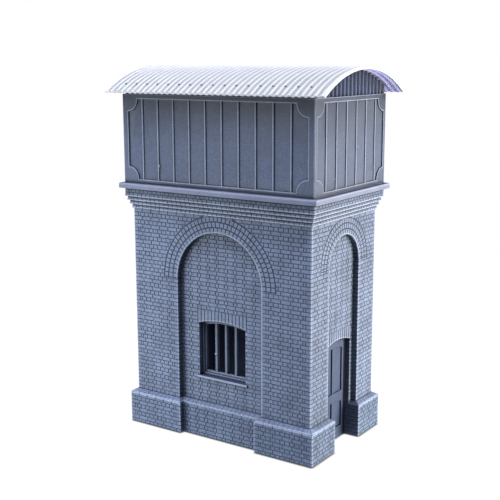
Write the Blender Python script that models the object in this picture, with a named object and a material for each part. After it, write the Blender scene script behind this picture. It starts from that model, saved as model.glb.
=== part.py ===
"""A brick water tower with an iron tank and a curved corrugated roof, as a one-colour scale model.

Run with blender --background --python part.py. Metres, +Z up. The origin is the centre of the
base on the ground, X runs along the long sides, the front is the -Y side and the doorway is in
the +X end. Left and right are as seen from the front.
"""

import math

import bmesh
import bpy
from mathutils import Vector

MM = 0.001

# Brick sizes, each with its mortar joint, and the hairline between neighbouring pieces.
COURSE = 1.078 * MM
STRETCHER = 2.93 * MM
HEADER = STRETCHER / 2
SEAM = 0.05 * MM

# Plan of the brick base: piers of whole bricks at the corners, a recess between them.
RECESS_HALF_LONG = 13.53 * MM
RECESS_HALF_END = 7.88 * MM
HALF_LENGTH = RECESS_HALF_LONG + 5 * STRETCHER
HALF_DEPTH = RECESS_HALF_END + 3 * STRETCHER
RECESS = HEADER
WALL_DEPTH = RECESS + STRETCHER
INNER_HALF_LENGTH = HALF_LENGTH - WALL_DEPTH
INNER_HALF_DEPTH = HALF_DEPTH - WALL_DEPTH

# Heights of the brick base.
PLINTH_OUT = 1.55 * MM
PLINTH_END_OUT = 1.35 * MM
PLINTH_TOP = 9 * COURSE
PLINTH_SLOPE = 0.92 * MM
FOOT_CHAMFER = 0.3 * MM
WALL_TOP = PLINTH_TOP + 48 * COURSE
CORBEL_COURSE = 1.1 * MM
CORBEL_FIRST_STEP = 0.3 * MM
CORBEL_STEP = 0.44 * MM
CORBEL_COURSES = (1, 1, 1, 2)
CORBEL_TOP = WALL_TOP + sum(CORBEL_COURSES) * CORBEL_COURSE

# Arches of three header rings that reach up to the corbel.
ARCH_RINGS = 3
ARCH_DEPTH = ARCH_RINGS * HEADER
ARCH_SEGMENTS = 32
SPANDREL_TIP = 0.3 * MM

# Window opening, its sill and its frame.
WINDOW_HALF = 7.6 * MM
WINDOW_BOTTOM = 16.2 * MM
WINDOW_SPRING = 31.8 * MM
WINDOW_RISE = 1.15 * MM
SILL_THICKNESS = 0.75 * MM
SILL_OUT = 0.45 * MM
SILL_HORN = 0.55 * MM
WINDOW_SET_BACK = 1.3 * MM
WINDOW_FRAME_WIDTH = 1.2 * MM
WINDOW_FRAME_DEPTH = 1.2 * MM

# Doorway, its frame and the leaf with two tall and two short sunk panels.
DOOR_HALF = 6.55 * MM
DOOR_SPRING = 27.5 * MM
DOOR_RISE = 1.25 * MM
DOOR_SET_BACK = 1.3 * MM
DOOR_FRAME_WIDTH = 0.5 * MM
DOOR_FRAME_DEPTH = 1.3 * MM
LEAF_SET_BACK = HEADER
LEAF_THICKNESS = 1.0 * MM
DOOR_STILE = 1.13 * MM
DOOR_MUNTIN = 0.72 * MM
DOOR_PANEL_DEPTH = 0.35 * MM
DOOR_PANEL_LEVELS = ((3.2 * MM, 10.8 * MM), (13.2 * MM, 26.0 * MM))

# Cornice slab and tank.
SLAB_HALF_LENGTH = 31.0 * MM
SLAB_HALF_DEPTH = 19.5 * MM
SLAB_THICKNESS = 1.5 * MM
SLAB_ROUND = 0.5 * MM
SLAB_TOP = CORBEL_TOP + SLAB_THICKNESS
TANK_HALF_LENGTH = 29.82 * MM
TANK_HALF_DEPTH = 18.46 * MM
TANK_TOP = SLAB_TOP + 23.85 * MM
TANK_WALL = 1.6 * MM
TANK_BORDER = 0.45 * MM
TANK_RIB_OUT = 0.36 * MM
TANK_RIB_WIDTH = 0.54 * MM
TANK_BORDER_SIDE_LONG = 1.88 * MM
TANK_BORDER_SIDE_END = 1.22 * MM
TANK_BORDER_FOOT = 1.2 * MM
TANK_BORDER_HEAD = 1.35 * MM
TANK_CORNER_RADIUS = 3.3 * MM
TANK_RIBS_LONG = 10
TANK_RIBS_END = 6
TANK_RIB_PITCH_LONG = 5.14 * MM
TANK_RIB_PITCH_END = 5.09 * MM

# Roof: a sheet bent to an arc across the tank, corrugated along it.
ROOF_HALF_LENGTH = 33.75 * MM
ROOF_HALF_WIDTH = 21.1 * MM
ROOF_RADIUS = 37.74 * MM
ROOF_CROWN = 99.45 * MM
ROOF_AXIS = ROOF_CROWN - ROOF_RADIUS
ROOF_WAVES = 38
ROOF_PITCH = 1.79 * MM
ROOF_WAVE_DEPTH = 0.42 * MM
ROOF_SHEET = 0.32 * MM
ROOF_SEGMENTS = 12
PLATE_WIDTH = 1.5 * MM
GABLE_SET_BACK = 0.1 * MM
GABLE_THICKNESS = 1.0 * MM
GABLE_HALF_WIDTH = TANK_HALF_DEPTH - SEAM
GABLE_WAVES = 19
GABLE_WAVE_DEPTH = 0.4 * MM

# Resin colours, linear RGB, and roughness, as the light falls on each part.
BRICK_RESIN = ((0.150, 0.190, 0.270), 0.62)
TANK_RESIN = ((0.160, 0.200, 0.280), 0.55)
JOINERY_RESIN = ((0.130, 0.165, 0.235), 0.60)
PALE_RESIN = ((0.330, 0.350, 0.480), 0.50)

# A point well outside the faces, where a cutter may end.
CLEAR = 2 * MM


def clear_scene():
    """Start from an empty scene."""
    for existing in list(bpy.data.objects):
        bpy.data.objects.remove(existing, do_unlink=True)


def resin(name, finish):
    """A Principled material for one piece."""
    colour, roughness = finish
    material = bpy.data.materials.new(name + "_resin")
    material.use_nodes = True
    shader = material.node_tree.nodes["Principled BSDF"]
    shader.inputs["Base Color"].default_value = (*colour, 1.0)
    shader.inputs["Roughness"].default_value = roughness
    shader.inputs["Metallic"].default_value = 0.0
    return material


def add_object(name, shape, finish):
    """Turn a bmesh into a named object with its faces pointing out."""
    bmesh.ops.recalc_face_normals(shape, faces=shape.faces)
    mesh = bpy.data.meshes.new(name)
    shape.to_mesh(mesh)
    shape.free()
    item = bpy.data.objects.new(name, mesh)
    bpy.context.scene.collection.objects.link(item)
    mesh.materials.append(resin(name, finish))
    return item


def loft(name, outlines, finish):
    """A closed solid through outlines that all have the same number of points."""
    shape = bmesh.new()
    rows = [[shape.verts.new(point) for point in outline] for outline in outlines]
    for low, high in zip(rows, rows[1:]):
        for i, (a, b) in enumerate(zip(low, high)):
            following = (i + 1) % len(low)
            shape.faces.new((a, low[following], high[following], b))
    shape.faces.new(reversed(rows[0]))
    shape.faces.new(rows[-1])
    return add_object(name, shape, finish)


def band(name, loops, finish):
    """A closed ring-shaped solid whose section runs through the loops and back to the first."""
    shape = bmesh.new()
    rows = [[shape.verts.new(point) for point in loop] for loop in loops]
    for low, high in zip(rows, rows[1:] + rows[:1]):
        for i, (a, b) in enumerate(zip(low, high)):
            following = (i + 1) % len(low)
            shape.faces.new((a, low[following], high[following], b))
    return add_object(name, shape, finish)


def modify(item, tool, operation):
    """Cut or join an object with another, which stays in the file as a hidden guide."""
    tool.hide_render = True
    tool.display_type = "WIRE"
    step = item.modifiers.new(tool.name, "BOOLEAN")
    step.operation = operation
    step.solver = "EXACT"
    step.object = tool


class Side:
    """One side of the tower: s runs to the right as seen from outside, d runs inwards."""

    def __init__(self, name, along, inwards, face, recess_half):
        self.name = name
        self.along = Vector((*along, 0.0))
        self.inwards = Vector((*inwards, 0.0))
        self.face = face
        self.recess_half = recess_half
        self.arch_spring = WALL_TOP - ARCH_DEPTH - recess_half

    def point(self, s, d, z):
        """A point from its place along the side, its depth behind the pier face and its height."""
        return self.along * s + self.inwards * (d - self.face) + Vector((0.0, 0.0, z))

    def outline(self, points, d):
        """An outline of (s, z) points at one depth."""
        return [self.point(s, d, z) for s, z in points]

    def slab(self, name, points, front, back, finish):
        """A solid with the outline of (s, z) points between two depths."""
        return loft(name, [self.outline(points, front), self.outline(points, back)], finish)


FRONT = Side("front", (1, 0), (0, 1), HALF_DEPTH, RECESS_HALF_LONG)
BACK = Side("back", (-1, 0), (0, -1), HALF_DEPTH, RECESS_HALF_LONG)
LEFT = Side("left", (0, -1), (1, 0), HALF_LENGTH, RECESS_HALF_END)
RIGHT = Side("right", (0, 1), (-1, 0), HALF_LENGTH, RECESS_HALF_END)
SIDES = (FRONT, BACK, LEFT, RIGHT)
CORNERS = (("front_left", -1, -1), ("front_right", 1, -1), ("back_left", -1, 1), ("back_right", 1, 1))


def flat(points, z):
    """A plan outline of (x, y) points at one height."""
    return [Vector((x, y, z)) for x, y in points]


def corner_plan(x_sign, y_sign, points):
    """A plan outline drawn for the +X +Y corner, moved to another corner."""
    return [(x_sign * x, y_sign * y) for x, y in points]


def rectangle(half_x, half_y):
    """A rectangle round the origin."""
    return [(-half_x, -half_y), (half_x, -half_y), (half_x, half_y), (-half_x, half_y)]


def arc(radius, centre_z, start, end, count):
    """Points (s, z) on a circle, from one angle to another, measured from the +s direction."""
    angles = [start + (end - start) * i / count for i in range(count + 1)]
    return [(radius * math.cos(a), centre_z + radius * math.sin(a)) for a in angles]


def segmental_head(half, spring, rise, count=12):
    """The head of an opening, from right to left: a flat arc that rises over its springing."""
    radius = (half * half + rise * rise) / (2 * rise)
    reach = math.asin(half / radius)
    centre = spring + rise - radius
    return arc(radius, centre, math.pi / 2 - reach, math.pi / 2 + reach, count)


def segmental_opening(half, bottom, spring, rise):
    """An opening with straight sides and a segmental head."""
    return [(-half, bottom), (half, bottom)] + segmental_head(half, spring, rise)


def spandrel_end(radius):
    """Distance from the middle at which the brickwork over an arch thins out to its tip."""
    return math.sqrt(radius * radius - (radius - SPANDREL_TIP) ** 2)


def make_corner_plinths():
    """L-shaped plinths that wrap the piers, with a sloping top course and a small foot chamfer."""

    def plan(outer, end):
        x_outer = HALF_LENGTH + outer
        y_outer = HALF_DEPTH + outer
        x_end = RECESS_HALF_LONG - end
        y_end = RECESS_HALF_END - end
        x_inner = INNER_HALF_LENGTH
        y_inner = INNER_HALF_DEPTH
        return [(x_end, y_outer), (x_outer, y_outer), (x_outer, y_end), (x_inner, y_end),
                (x_inner, y_inner), (x_end, y_inner)]

    foot = plan(PLINTH_OUT - FOOT_CHAMFER, PLINTH_END_OUT - FOOT_CHAMFER)
    full = plan(PLINTH_OUT, PLINTH_END_OUT)
    top = plan(0.0, 0.0)
    heights = ((0.0, foot), (FOOT_CHAMFER, full), (PLINTH_TOP - PLINTH_SLOPE, full), (PLINTH_TOP, top))
    for corner, x_sign, y_sign in CORNERS:
        levels = [flat(corner_plan(x_sign, y_sign, points), z) for z, points in heights]
        loft("plinth_" + corner, levels, BRICK_RESIN)


def make_recess_plinths():
    """Plinths under the recessed walls. Their ends slope with the corner plinths they meet."""
    for side in (FRONT, BACK, LEFT):
        narrow = side.recess_half - PLINTH_END_OUT - SEAM
        wide = side.recess_half - SEAM

        def plan(half, front, z):
            corners = ((-half, front), (half, front), (half, WALL_DEPTH), (-half, WALL_DEPTH))
            return [side.point(s, d, z) for s, d in corners]

        face = RECESS - PLINTH_OUT
        levels = [plan(narrow, face + FOOT_CHAMFER, 0.0), plan(narrow, face, FOOT_CHAMFER),
                  plan(narrow, face, PLINTH_TOP - PLINTH_SLOPE), plan(wide, RECESS, PLINTH_TOP)]
        loft("plinth_" + side.name, levels, BRICK_RESIN)


def make_arch_cutter(side):
    """The hollow of a recess and the seat of its arch, cut out of the outer half brick."""
    radius = side.recess_half + ARCH_DEPTH + SEAM
    spring = side.arch_spring
    points = [(-radius, spring), (-side.recess_half, spring), (-side.recess_half, PLINTH_TOP - CLEAR),
              (side.recess_half, PLINTH_TOP - CLEAR), (side.recess_half, spring)]
    points += arc(radius, spring, 0.0, math.pi, ARCH_SEGMENTS)[:-1]
    return side.slab("cut_arch_" + side.name, points, -CLEAR, RECESS + SEAM, BRICK_RESIN)


def make_piers():
    """Corner piers. Their outer half brick runs on over the arches as spandrels."""
    x_tip = spandrel_end(FRONT.recess_half + ARCH_DEPTH)
    y_tip = spandrel_end(RIGHT.recess_half + ARCH_DEPTH)
    x_layer = HALF_LENGTH - RECESS
    y_layer = HALF_DEPTH - RECESS
    plan = [(x_tip, HALF_DEPTH), (HALF_LENGTH, HALF_DEPTH), (HALF_LENGTH, y_tip), (x_layer, y_tip),
            (x_layer, RECESS_HALF_END), (INNER_HALF_LENGTH, RECESS_HALF_END),
            (INNER_HALF_LENGTH, INNER_HALF_DEPTH), (RECESS_HALF_LONG, INNER_HALF_DEPTH),
            (RECESS_HALF_LONG, y_layer), (x_tip, y_layer)]
    cutters = {side.name: make_arch_cutter(side) for side in SIDES}
    for corner, x_sign, y_sign in CORNERS:
        points = corner_plan(x_sign, y_sign, plan)
        pier = loft("pier_" + corner, [flat(points, PLINTH_TOP + SEAM), flat(points, WALL_TOP)], BRICK_RESIN)
        for name in corner.split("_"):
            modify(pier, cutters[name], "DIFFERENCE")


def make_arches():
    """Arches of header rings. Each springs from the piers and reaches up to the corbel."""
    for side in SIDES:
        spring = side.arch_spring + SEAM
        inner = side.recess_half
        outer = inner + ARCH_DEPTH
        points = arc(outer, spring, 0.0, math.pi, ARCH_SEGMENTS)
        points += arc(inner, spring, math.pi, 0.0, ARCH_SEGMENTS)
        # The crown stays a hairline under the corbel, and the back a hairline off the wall.
        points = [(s, min(z, WALL_TOP)) for s, z in points]
        side.slab("arch_" + side.name, points, 0.0, RECESS, BRICK_RESIN)


def make_recess_walls():
    """Recessed walls between the piers: two with a window, one blind, one with the doorway."""
    front = RECESS + 2 * SEAM
    for side in (FRONT, BACK, LEFT):
        half = side.recess_half - SEAM
        points = [(-half, PLINTH_TOP + SEAM), (half, PLINTH_TOP + SEAM), (half, WALL_TOP), (-half, WALL_TOP)]
        wall = side.slab("wall_" + side.name, points, front, WALL_DEPTH, BRICK_RESIN)
        if side is not LEFT:
            opening = segmental_opening(WINDOW_HALF, WINDOW_BOTTOM, WINDOW_SPRING, WINDOW_RISE)
            cutter = side.slab("cut_window_" + side.name, opening, front - CLEAR, WALL_DEPTH + CLEAR, BRICK_RESIN)
            modify(wall, cutter, "DIFFERENCE")
    half = RIGHT.recess_half - SEAM
    strip = PLINTH_TOP + SEAM
    strip_low = PLINTH_TOP - PLINTH_SLOPE + SEAM
    points = [(-half, strip), (-DOOR_HALF, strip_low)]
    points += reversed(segmental_head(DOOR_HALF, DOOR_SPRING, DOOR_RISE))
    points += [(DOOR_HALF, strip_low), (half, strip), (half, WALL_TOP), (-half, WALL_TOP)]
    RIGHT.slab("wall_right", points, front, WALL_DEPTH, BRICK_RESIN)


def make_corbel():
    """Corbel courses. Each is a ring of bricks stepped out over the one below."""
    z = WALL_TOP
    inner = rectangle(INNER_HALF_LENGTH, INNER_HALF_DEPTH)
    for number, courses in enumerate(CORBEL_COURSES, start=1):
        out = CORBEL_FIRST_STEP + (number - 1) * CORBEL_STEP
        outer = rectangle(HALF_LENGTH + out, HALF_DEPTH + out)
        low = z + SEAM
        high = z + courses * CORBEL_COURSE
        loops = [flat(outer, low), flat(outer, high), flat(inner, high), flat(inner, low)]
        band("corbel_" + str(number), loops, BRICK_RESIN)
        z = high


def make_slab():
    """The cornice slab under the tank, with rounded edges."""
    outline = rectangle(SLAB_HALF_LENGTH, SLAB_HALF_DEPTH)
    slab = loft("cornice_slab", [flat(outline, CORBEL_TOP + SEAM), flat(outline, SLAB_TOP)], PALE_RESIN)
    nosing = slab.modifiers.new("nosing", "BEVEL")
    nosing.width = SLAB_ROUND
    nosing.segments = 3
    nosing.limit_method = "ANGLE"


def make_windows():
    """A thin sill with horns and a plain frame in each window opening."""
    sill_top = WINDOW_BOTTOM + SILL_THICKNESS
    fit = WINDOW_HALF - SEAM
    wide = WINDOW_HALF + SILL_HORN
    plan = [(-wide, RECESS - SILL_OUT), (wide, RECESS - SILL_OUT), (wide, RECESS + SEAM), (fit, RECESS + SEAM),
            (fit, WALL_DEPTH), (-fit, WALL_DEPTH), (-fit, RECESS + SEAM), (-wide, RECESS + SEAM)]
    outer = segmental_opening(fit, sill_top + SEAM, WINDOW_SPRING - SEAM, WINDOW_RISE)
    light = WINDOW_HALF - WINDOW_FRAME_WIDTH
    inner = segmental_opening(light, sill_top + WINDOW_FRAME_WIDTH, WINDOW_SPRING - WINDOW_FRAME_WIDTH,
                              WINDOW_RISE * light / WINDOW_HALF)
    front = RECESS + WINDOW_SET_BACK
    back = front + WINDOW_FRAME_DEPTH
    for side in (FRONT, BACK):
        levels = [[side.point(s, d, z) for s, d in plan] for z in (WINDOW_BOTTOM + SEAM, sill_top)]
        loft("window_sill_" + side.name, levels, JOINERY_RESIN)
        loops = [side.outline(outer, front), side.outline(outer, back),
                 side.outline(inner, back), side.outline(inner, front)]
        band("window_frame_" + side.name, loops, JOINERY_RESIN)


def door_panel(low, high, left, right):
    """A sunk panel of the door. Its top follows the arc of the doorway's head."""
    radius = (DOOR_HALF * DOOR_HALF + DOOR_RISE * DOOR_RISE) / (2 * DOOR_RISE)
    steps = [right + (left - right) * i / 4 for i in range(5)]
    return [(left, low), (right, low)] + [(s, high - s * s / (2 * radius)) for s in steps]


def make_door():
    """The door frame against the jambs, and the leaf with four sunk panels."""
    fit = DOOR_HALF - SEAM
    inside = fit - DOOR_FRAME_WIDTH
    inside_rise = DOOR_RISE * inside / DOOR_HALF
    outer = [(fit, 0.0)] + segmental_head(fit, DOOR_SPRING - SEAM, DOOR_RISE) + [(-fit, 0.0)]
    inner = [(-inside, 0.0)]
    inner += reversed(segmental_head(inside, DOOR_SPRING - DOOR_FRAME_WIDTH, inside_rise))
    inner += [(inside, 0.0)]
    front = RECESS + DOOR_SET_BACK
    RIGHT.slab("door_frame", outer + inner, front, front + DOOR_FRAME_DEPTH, JOINERY_RESIN)

    edge = inside - SEAM
    top = DOOR_SPRING - DOOR_FRAME_WIDTH - SEAM
    outline = segmental_opening(edge, 0.0, top, inside_rise)
    face = RECESS + LEAF_SET_BACK
    leaf = RIGHT.slab("door_leaf", outline, face, face + LEAF_THICKNESS, JOINERY_RESIN)
    for row, (low, high) in enumerate(DOOR_PANEL_LEVELS):
        for hand in (-1, 1):
            near = hand * DOOR_MUNTIN / 2
            far = hand * (edge - DOOR_STILE)
            points = door_panel(low, high, min(near, far), max(near, far))
            cutter = RIGHT.slab("cut_panel_" + str(row) + ("_left" if hand < 0 else "_right"), points,
                                face - CLEAR, face + DOOR_PANEL_DEPTH, JOINERY_RESIN)
            modify(leaf, cutter, "DIFFERENCE")


def panel_outline(half, low, high, radius, count=6):
    """A panel with a quarter circle bitten out of each corner."""
    points = []
    quarter = math.pi / 2
    for s, z, start in ((half, low, 2), (half, high, 3), (-half, high, 0), (-half, low, 1)):
        for i in range(count + 1):
            angle = (start - i / count) * quarter
            points.append((s + radius * math.cos(angle), z + radius * math.sin(angle)))
    return points


def make_tank_side(side, half_span, border_side, rib_count, rib_pitch, face):
    """One side of the tank: mitred at its ends, with a sunk panel and upright ribs."""
    low = SLAB_TOP + SEAM
    mitre = half_span - SEAM
    front = [(-mitre, low), (mitre, low), (mitre, TANK_TOP), (-mitre, TANK_TOP)]
    narrow = mitre - TANK_WALL
    back = [(-narrow, low), (narrow, low), (narrow, TANK_TOP), (-narrow, TANK_TOP)]
    body = loft("tank_" + side.name, [side.outline(front, face), side.outline(back, face + TANK_WALL)], TANK_RESIN)

    panel_half = half_span - border_side
    panel_low = SLAB_TOP + TANK_BORDER_FOOT
    panel_high = TANK_TOP - TANK_BORDER_HEAD
    outline = panel_outline(panel_half, panel_low, panel_high, TANK_CORNER_RADIUS)
    sunk = face + TANK_BORDER
    modify(body, side.slab("cut_tank_" + side.name, outline, face - CLEAR, sunk, TANK_RESIN), "DIFFERENCE")

    bite = TANK_BORDER_FOOT / 2
    first = -(rib_count - 1) / 2
    for number in range(rib_count):
        middle = (first + number) * rib_pitch
        left = middle - TANK_RIB_WIDTH / 2
        right = middle + TANK_RIB_WIDTH / 2
        rib = [(left, panel_low - bite), (right, panel_low - bite),
               (right, panel_high + bite), (left, panel_high + bite)]
        tool = side.slab("rib_" + side.name + "_" + str(number), rib, sunk - TANK_RIB_OUT,
                         sunk + TANK_BORDER, TANK_RESIN)
        modify(body, tool, "UNION")


def make_tank():
    """The four sides of the tank, which stand on the cornice slab."""
    for side in (FRONT, BACK):
        make_tank_side(side, TANK_HALF_LENGTH, TANK_BORDER_SIDE_LONG, TANK_RIBS_LONG,
                       TANK_RIB_PITCH_LONG, HALF_DEPTH - TANK_HALF_DEPTH)
    for side in (LEFT, RIGHT):
        make_tank_side(side, TANK_HALF_DEPTH, TANK_BORDER_SIDE_END, TANK_RIBS_END,
                       TANK_RIB_PITCH_END, HALF_LENGTH - TANK_HALF_LENGTH)


def roof_underside(y):
    """Height of the roof's lowest surface at a distance y from the middle."""
    radius = ROOF_RADIUS - ROOF_WAVE_DEPTH - ROOF_SHEET - SEAM
    return ROOF_AXIS + math.sqrt(radius * radius - y * y)


def make_roof():
    """The curved sheet: valleys and peaks alternate along it, each an arc from eave to eave.

    The sheet is cut a little short of the valley of its first and of its last wave.
    """
    reach = math.asin(ROOF_HALF_WIDTH / ROOF_RADIUS)
    half_wave = ROOF_PITCH / 2
    cut_short = ROOF_WAVES * half_wave - ROOF_HALF_LENGTH

    def section(x, radius, way):
        points = arc(radius, ROOF_AXIS, math.pi / 2 + way * reach, math.pi / 2 - way * reach, ROOF_SEGMENTS)
        return [Vector((x, y, z)) for y, z in points]

    outlines = []
    for i in range(-ROOF_WAVES, ROOF_WAVES + 1):
        x = i * half_wave
        depth = ROOF_WAVE_DEPTH if i % 2 == 0 else 0.0
        if abs(i) == ROOF_WAVES:
            x = math.copysign(ROOF_HALF_LENGTH, x)
            depth *= 1 - cut_short / half_wave
        outer = ROOF_RADIUS - depth
        outlines.append(section(x, outer, 1) + section(x, outer - ROOF_SHEET, -1))
    loft("roof_sheet", outlines, PALE_RESIN)


def make_wall_plates():
    """Plates on the tank's long edges. The roof bears on their sloping tops."""
    half = TANK_HALF_LENGTH - GABLE_SET_BACK - GABLE_THICKNESS - SEAM
    outer = TANK_HALF_DEPTH
    inner = TANK_HALF_DEPTH - PLATE_WIDTH
    low = TANK_TOP + SEAM
    for side, y_sign in ((FRONT, -1), (BACK, 1)):
        section = [(outer, low), (inner, low), (inner, roof_underside(inner)), (outer, roof_underside(outer))]
        ends = [[Vector((x, y_sign * y, z)) for y, z in section] for x in (-half, half)]
        loft("wall_plate_" + side.name, ends, PALE_RESIN)


def make_gables():
    """Corrugated infill between each end of the tank and the roof."""
    stations = 2 * GABLE_WAVES + 1
    low = TANK_TOP + SEAM
    for name, x_sign in (("gable_left", -1), ("gable_right", 1)):
        face = TANK_HALF_LENGTH - GABLE_SET_BACK
        outlines = []
        for i in range(stations):
            y = GABLE_HALF_WIDTH * (2 * i / (stations - 1) - 1)
            outer = face - (GABLE_WAVE_DEPTH if i % 2 == 0 else 0.0)
            inner = face - GABLE_THICKNESS
            high = roof_underside(y)
            section = ((inner, low), (outer, low), (outer, high), (inner, high))
            outlines.append([Vector((x_sign * x, y, z)) for x, z in section])
        loft(name, outlines, TANK_RESIN)


def main():
    """Build the whole tower."""
    clear_scene()
    make_corner_plinths()
    make_recess_plinths()
    make_piers()
    make_recess_walls()
    make_arches()
    make_corbel()
    make_windows()
    make_door()
    make_slab()
    make_tank()
    make_wall_plates()
    make_gables()
    make_roof()


main()
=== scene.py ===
# %% Load the solids that everything is fitted to
import math

import bpy
import numpy as np
from mathutils import Matrix, Vector


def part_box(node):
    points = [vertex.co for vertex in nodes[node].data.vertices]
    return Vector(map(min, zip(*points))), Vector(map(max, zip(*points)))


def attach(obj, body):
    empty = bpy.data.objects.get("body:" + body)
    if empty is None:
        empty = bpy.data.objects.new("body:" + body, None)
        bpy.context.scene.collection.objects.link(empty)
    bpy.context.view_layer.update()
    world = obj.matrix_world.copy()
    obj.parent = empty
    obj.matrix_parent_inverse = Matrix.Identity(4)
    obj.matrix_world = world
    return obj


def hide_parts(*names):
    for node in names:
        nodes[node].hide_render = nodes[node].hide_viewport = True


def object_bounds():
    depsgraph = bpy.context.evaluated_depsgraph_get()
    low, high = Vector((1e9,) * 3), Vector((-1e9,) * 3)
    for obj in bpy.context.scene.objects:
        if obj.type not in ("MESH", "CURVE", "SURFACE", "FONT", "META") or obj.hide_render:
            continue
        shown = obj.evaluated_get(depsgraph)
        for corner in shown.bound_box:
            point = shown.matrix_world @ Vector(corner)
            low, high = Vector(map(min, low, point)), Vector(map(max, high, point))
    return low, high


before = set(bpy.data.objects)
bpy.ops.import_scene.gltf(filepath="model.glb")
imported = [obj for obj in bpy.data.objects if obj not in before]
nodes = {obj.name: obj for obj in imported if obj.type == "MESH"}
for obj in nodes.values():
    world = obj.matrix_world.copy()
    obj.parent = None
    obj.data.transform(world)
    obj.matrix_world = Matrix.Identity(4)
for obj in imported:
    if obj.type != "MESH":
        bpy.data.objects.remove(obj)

# %% [markdown]
# # A brick water tower, printed in grey resin
#
# The object is a scale model of a railway water tower, about 10 cm tall: a brick base with an
# arched recess in each side, a stepped brick cornice, an iron tank and a curved roof of corrugated
# sheet. The solids that were just loaded give the plain shapes. This lesson dresses them: it lays
# the bricks, rounds the edges that catch the light, and gives every surface the look of a print.
#
# Sizes that the solids already have are measured on them, so that nothing can drift away. The brick
# is given here: a header, its short face, is also the depth of a recess and of a ring of an arch.

# %% Measure the solids
MM = 0.001
STRETCHER = 2.93 * MM
HEADER = STRETCHER / 2
RECESS = HEADER
ARCH_RINGS = 3
ARCH_DEPTH = ARCH_RINGS * HEADER
cad_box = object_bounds()


def low(node_name):
    """Lowest corner of a solid, as an array."""
    return np.array(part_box(node_name)[0])


def high(node_name):
    """Highest corner of a solid, as an array."""
    return np.array(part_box(node_name)[1])


HALF_LENGTH, HALF_DEPTH, WALL_TOP = high("pier_back_right")
PLINTH_TOP = high("plinth_front_right")[2]
SLAB_LOW, SLAB_TOP = low("cornice_slab")[2], high("cornice_slab")[2]
TANK_HALF_LENGTH, _, TANK_TOP = high("tank_right")
TANK_HALF_DEPTH = high("tank_back")[1]
print(f"base {2000 * HALF_LENGTH:.1f} x {2000 * HALF_DEPTH:.1f} mm, walls up to {1000 * WALL_TOP:.1f} mm")

# %% [markdown]
# ## Four sides, one way of working
#
# The front, back, left and right of the tower are built alike, so each point is first given on its
# side: s runs to the right as seen from outside, d runs inwards from the face of the piers, and z
# runs up. One function turns these into the tower's own x, y and z. A brick wall could then be
# drawn once and turned four times, but the sides differ in their openings, so each is laid afresh.

# %% Places on a side
UP = np.array([0.0, 0.0, 1.0])
LONG_SIDES = ("front", "back")
LONG_SIZES = {"face": HALF_DEPTH, "half": HALF_LENGTH, "recess": high("arch_front")[0] - ARCH_DEPTH,
              "tank_face": TANK_HALF_DEPTH, "tank_half": TANK_HALF_LENGTH}
END_SIZES = {"face": HALF_LENGTH, "half": HALF_DEPTH, "recess": high("arch_right")[1] - ARCH_DEPTH,
             "tank_face": TANK_HALF_LENGTH, "tank_half": TANK_HALF_DEPTH}


def side_frame(along, inward, sizes):
    """A side: its directions, how far out its faces are, its half widths and where its arch springs."""
    inward = np.array([*inward, 0.0])
    return dict(sizes, along=np.array([*along, 0.0]), inward=inward, outward=-inward,
                spring=WALL_TOP - sizes["recess"] - ARCH_DEPTH)


SIDES = {"front": side_frame((1, 0), (0, 1), LONG_SIZES), "back": side_frame((-1, 0), (0, -1), LONG_SIZES),
         "left": side_frame((0, -1), (1, 0), END_SIZES), "right": side_frame((0, 1), (-1, 0), END_SIZES)}


def on_side(side, s, d, z):
    """Points on a side: s times its direction along, plus (d - face) times inwards, plus z up."""
    place = SIDES[side]
    s, d, z = (np.asarray(value, float)[..., None] for value in (s, d, z))
    return s * place["along"] + (d - place["face"]) * place["inward"] + z * UP


def at_depth(side, plan, depth):
    """Points on a side from a plan (..., 2) in s and z, at one depth."""
    return on_side(side, plan[..., 0], depth, plan[..., 1])


print("the right pier corner of the front is at", np.round(1000 * on_side("front", HALF_LENGTH, 0, 0), 2))

# %% [markdown]
# ## From arrays to a piece
#
# Every shape below ends as parts: points, faces that name their points, and marks that say which
# finish a face gets. These helpers join the parts to one mesh, shade it, and tie the piece to the
# body that it rides on. The place of a piece is in its mesh, so its object stays at the origin and
# a pattern in its material can't slide.
#
# Almost every shape is a grid of points whose neighbours make a quad, so one function lists those.
# Its two switches close the grid to a ring or a tube.

# %% Make a piece
def grid_faces(rows, columns, around=False, back=False):
    """Quads of a grid that is listed row by row: each point with its right, upper right and upper one.

    around joins the end of each row to its start, and back joins the last row to the first.
    """
    row = np.arange(rows if back else rows - 1)[:, None] * columns
    above = (row + columns) % (rows * columns)
    a = np.arange(columns if around else columns - 1)
    b = (a + 1) % columns
    return np.stack([row + a, row + b, above + b, above + a], -1).reshape(-1, 4)


def capped(rows, count):
    """Faces of a tube of rows of count points, then those of its two ends."""
    end = np.arange(count)[None]
    return [grid_faces(rows, count, around=True), end[:, ::-1], end + (rows - 1) * count]


def join(parts):
    """Parts (points, groups of faces, marks) as one. A group's mark is a number, or one for each face."""
    points, faces, marks, total = [], [], [], 0
    for part in parts:
        groups = part[1] if isinstance(part[1], list) else [part[1]]
        given = part[2] if len(part) > 2 else [0] * len(groups)
        points.append(part[0])
        faces += [face for group in groups for face in (np.asarray(group) + total).tolist()]
        marks += [np.full(len(group), mark) for group, mark in zip(groups, given)]
        total += len(part[0])
    return np.concatenate(points), faces, np.concatenate(marks)


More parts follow.
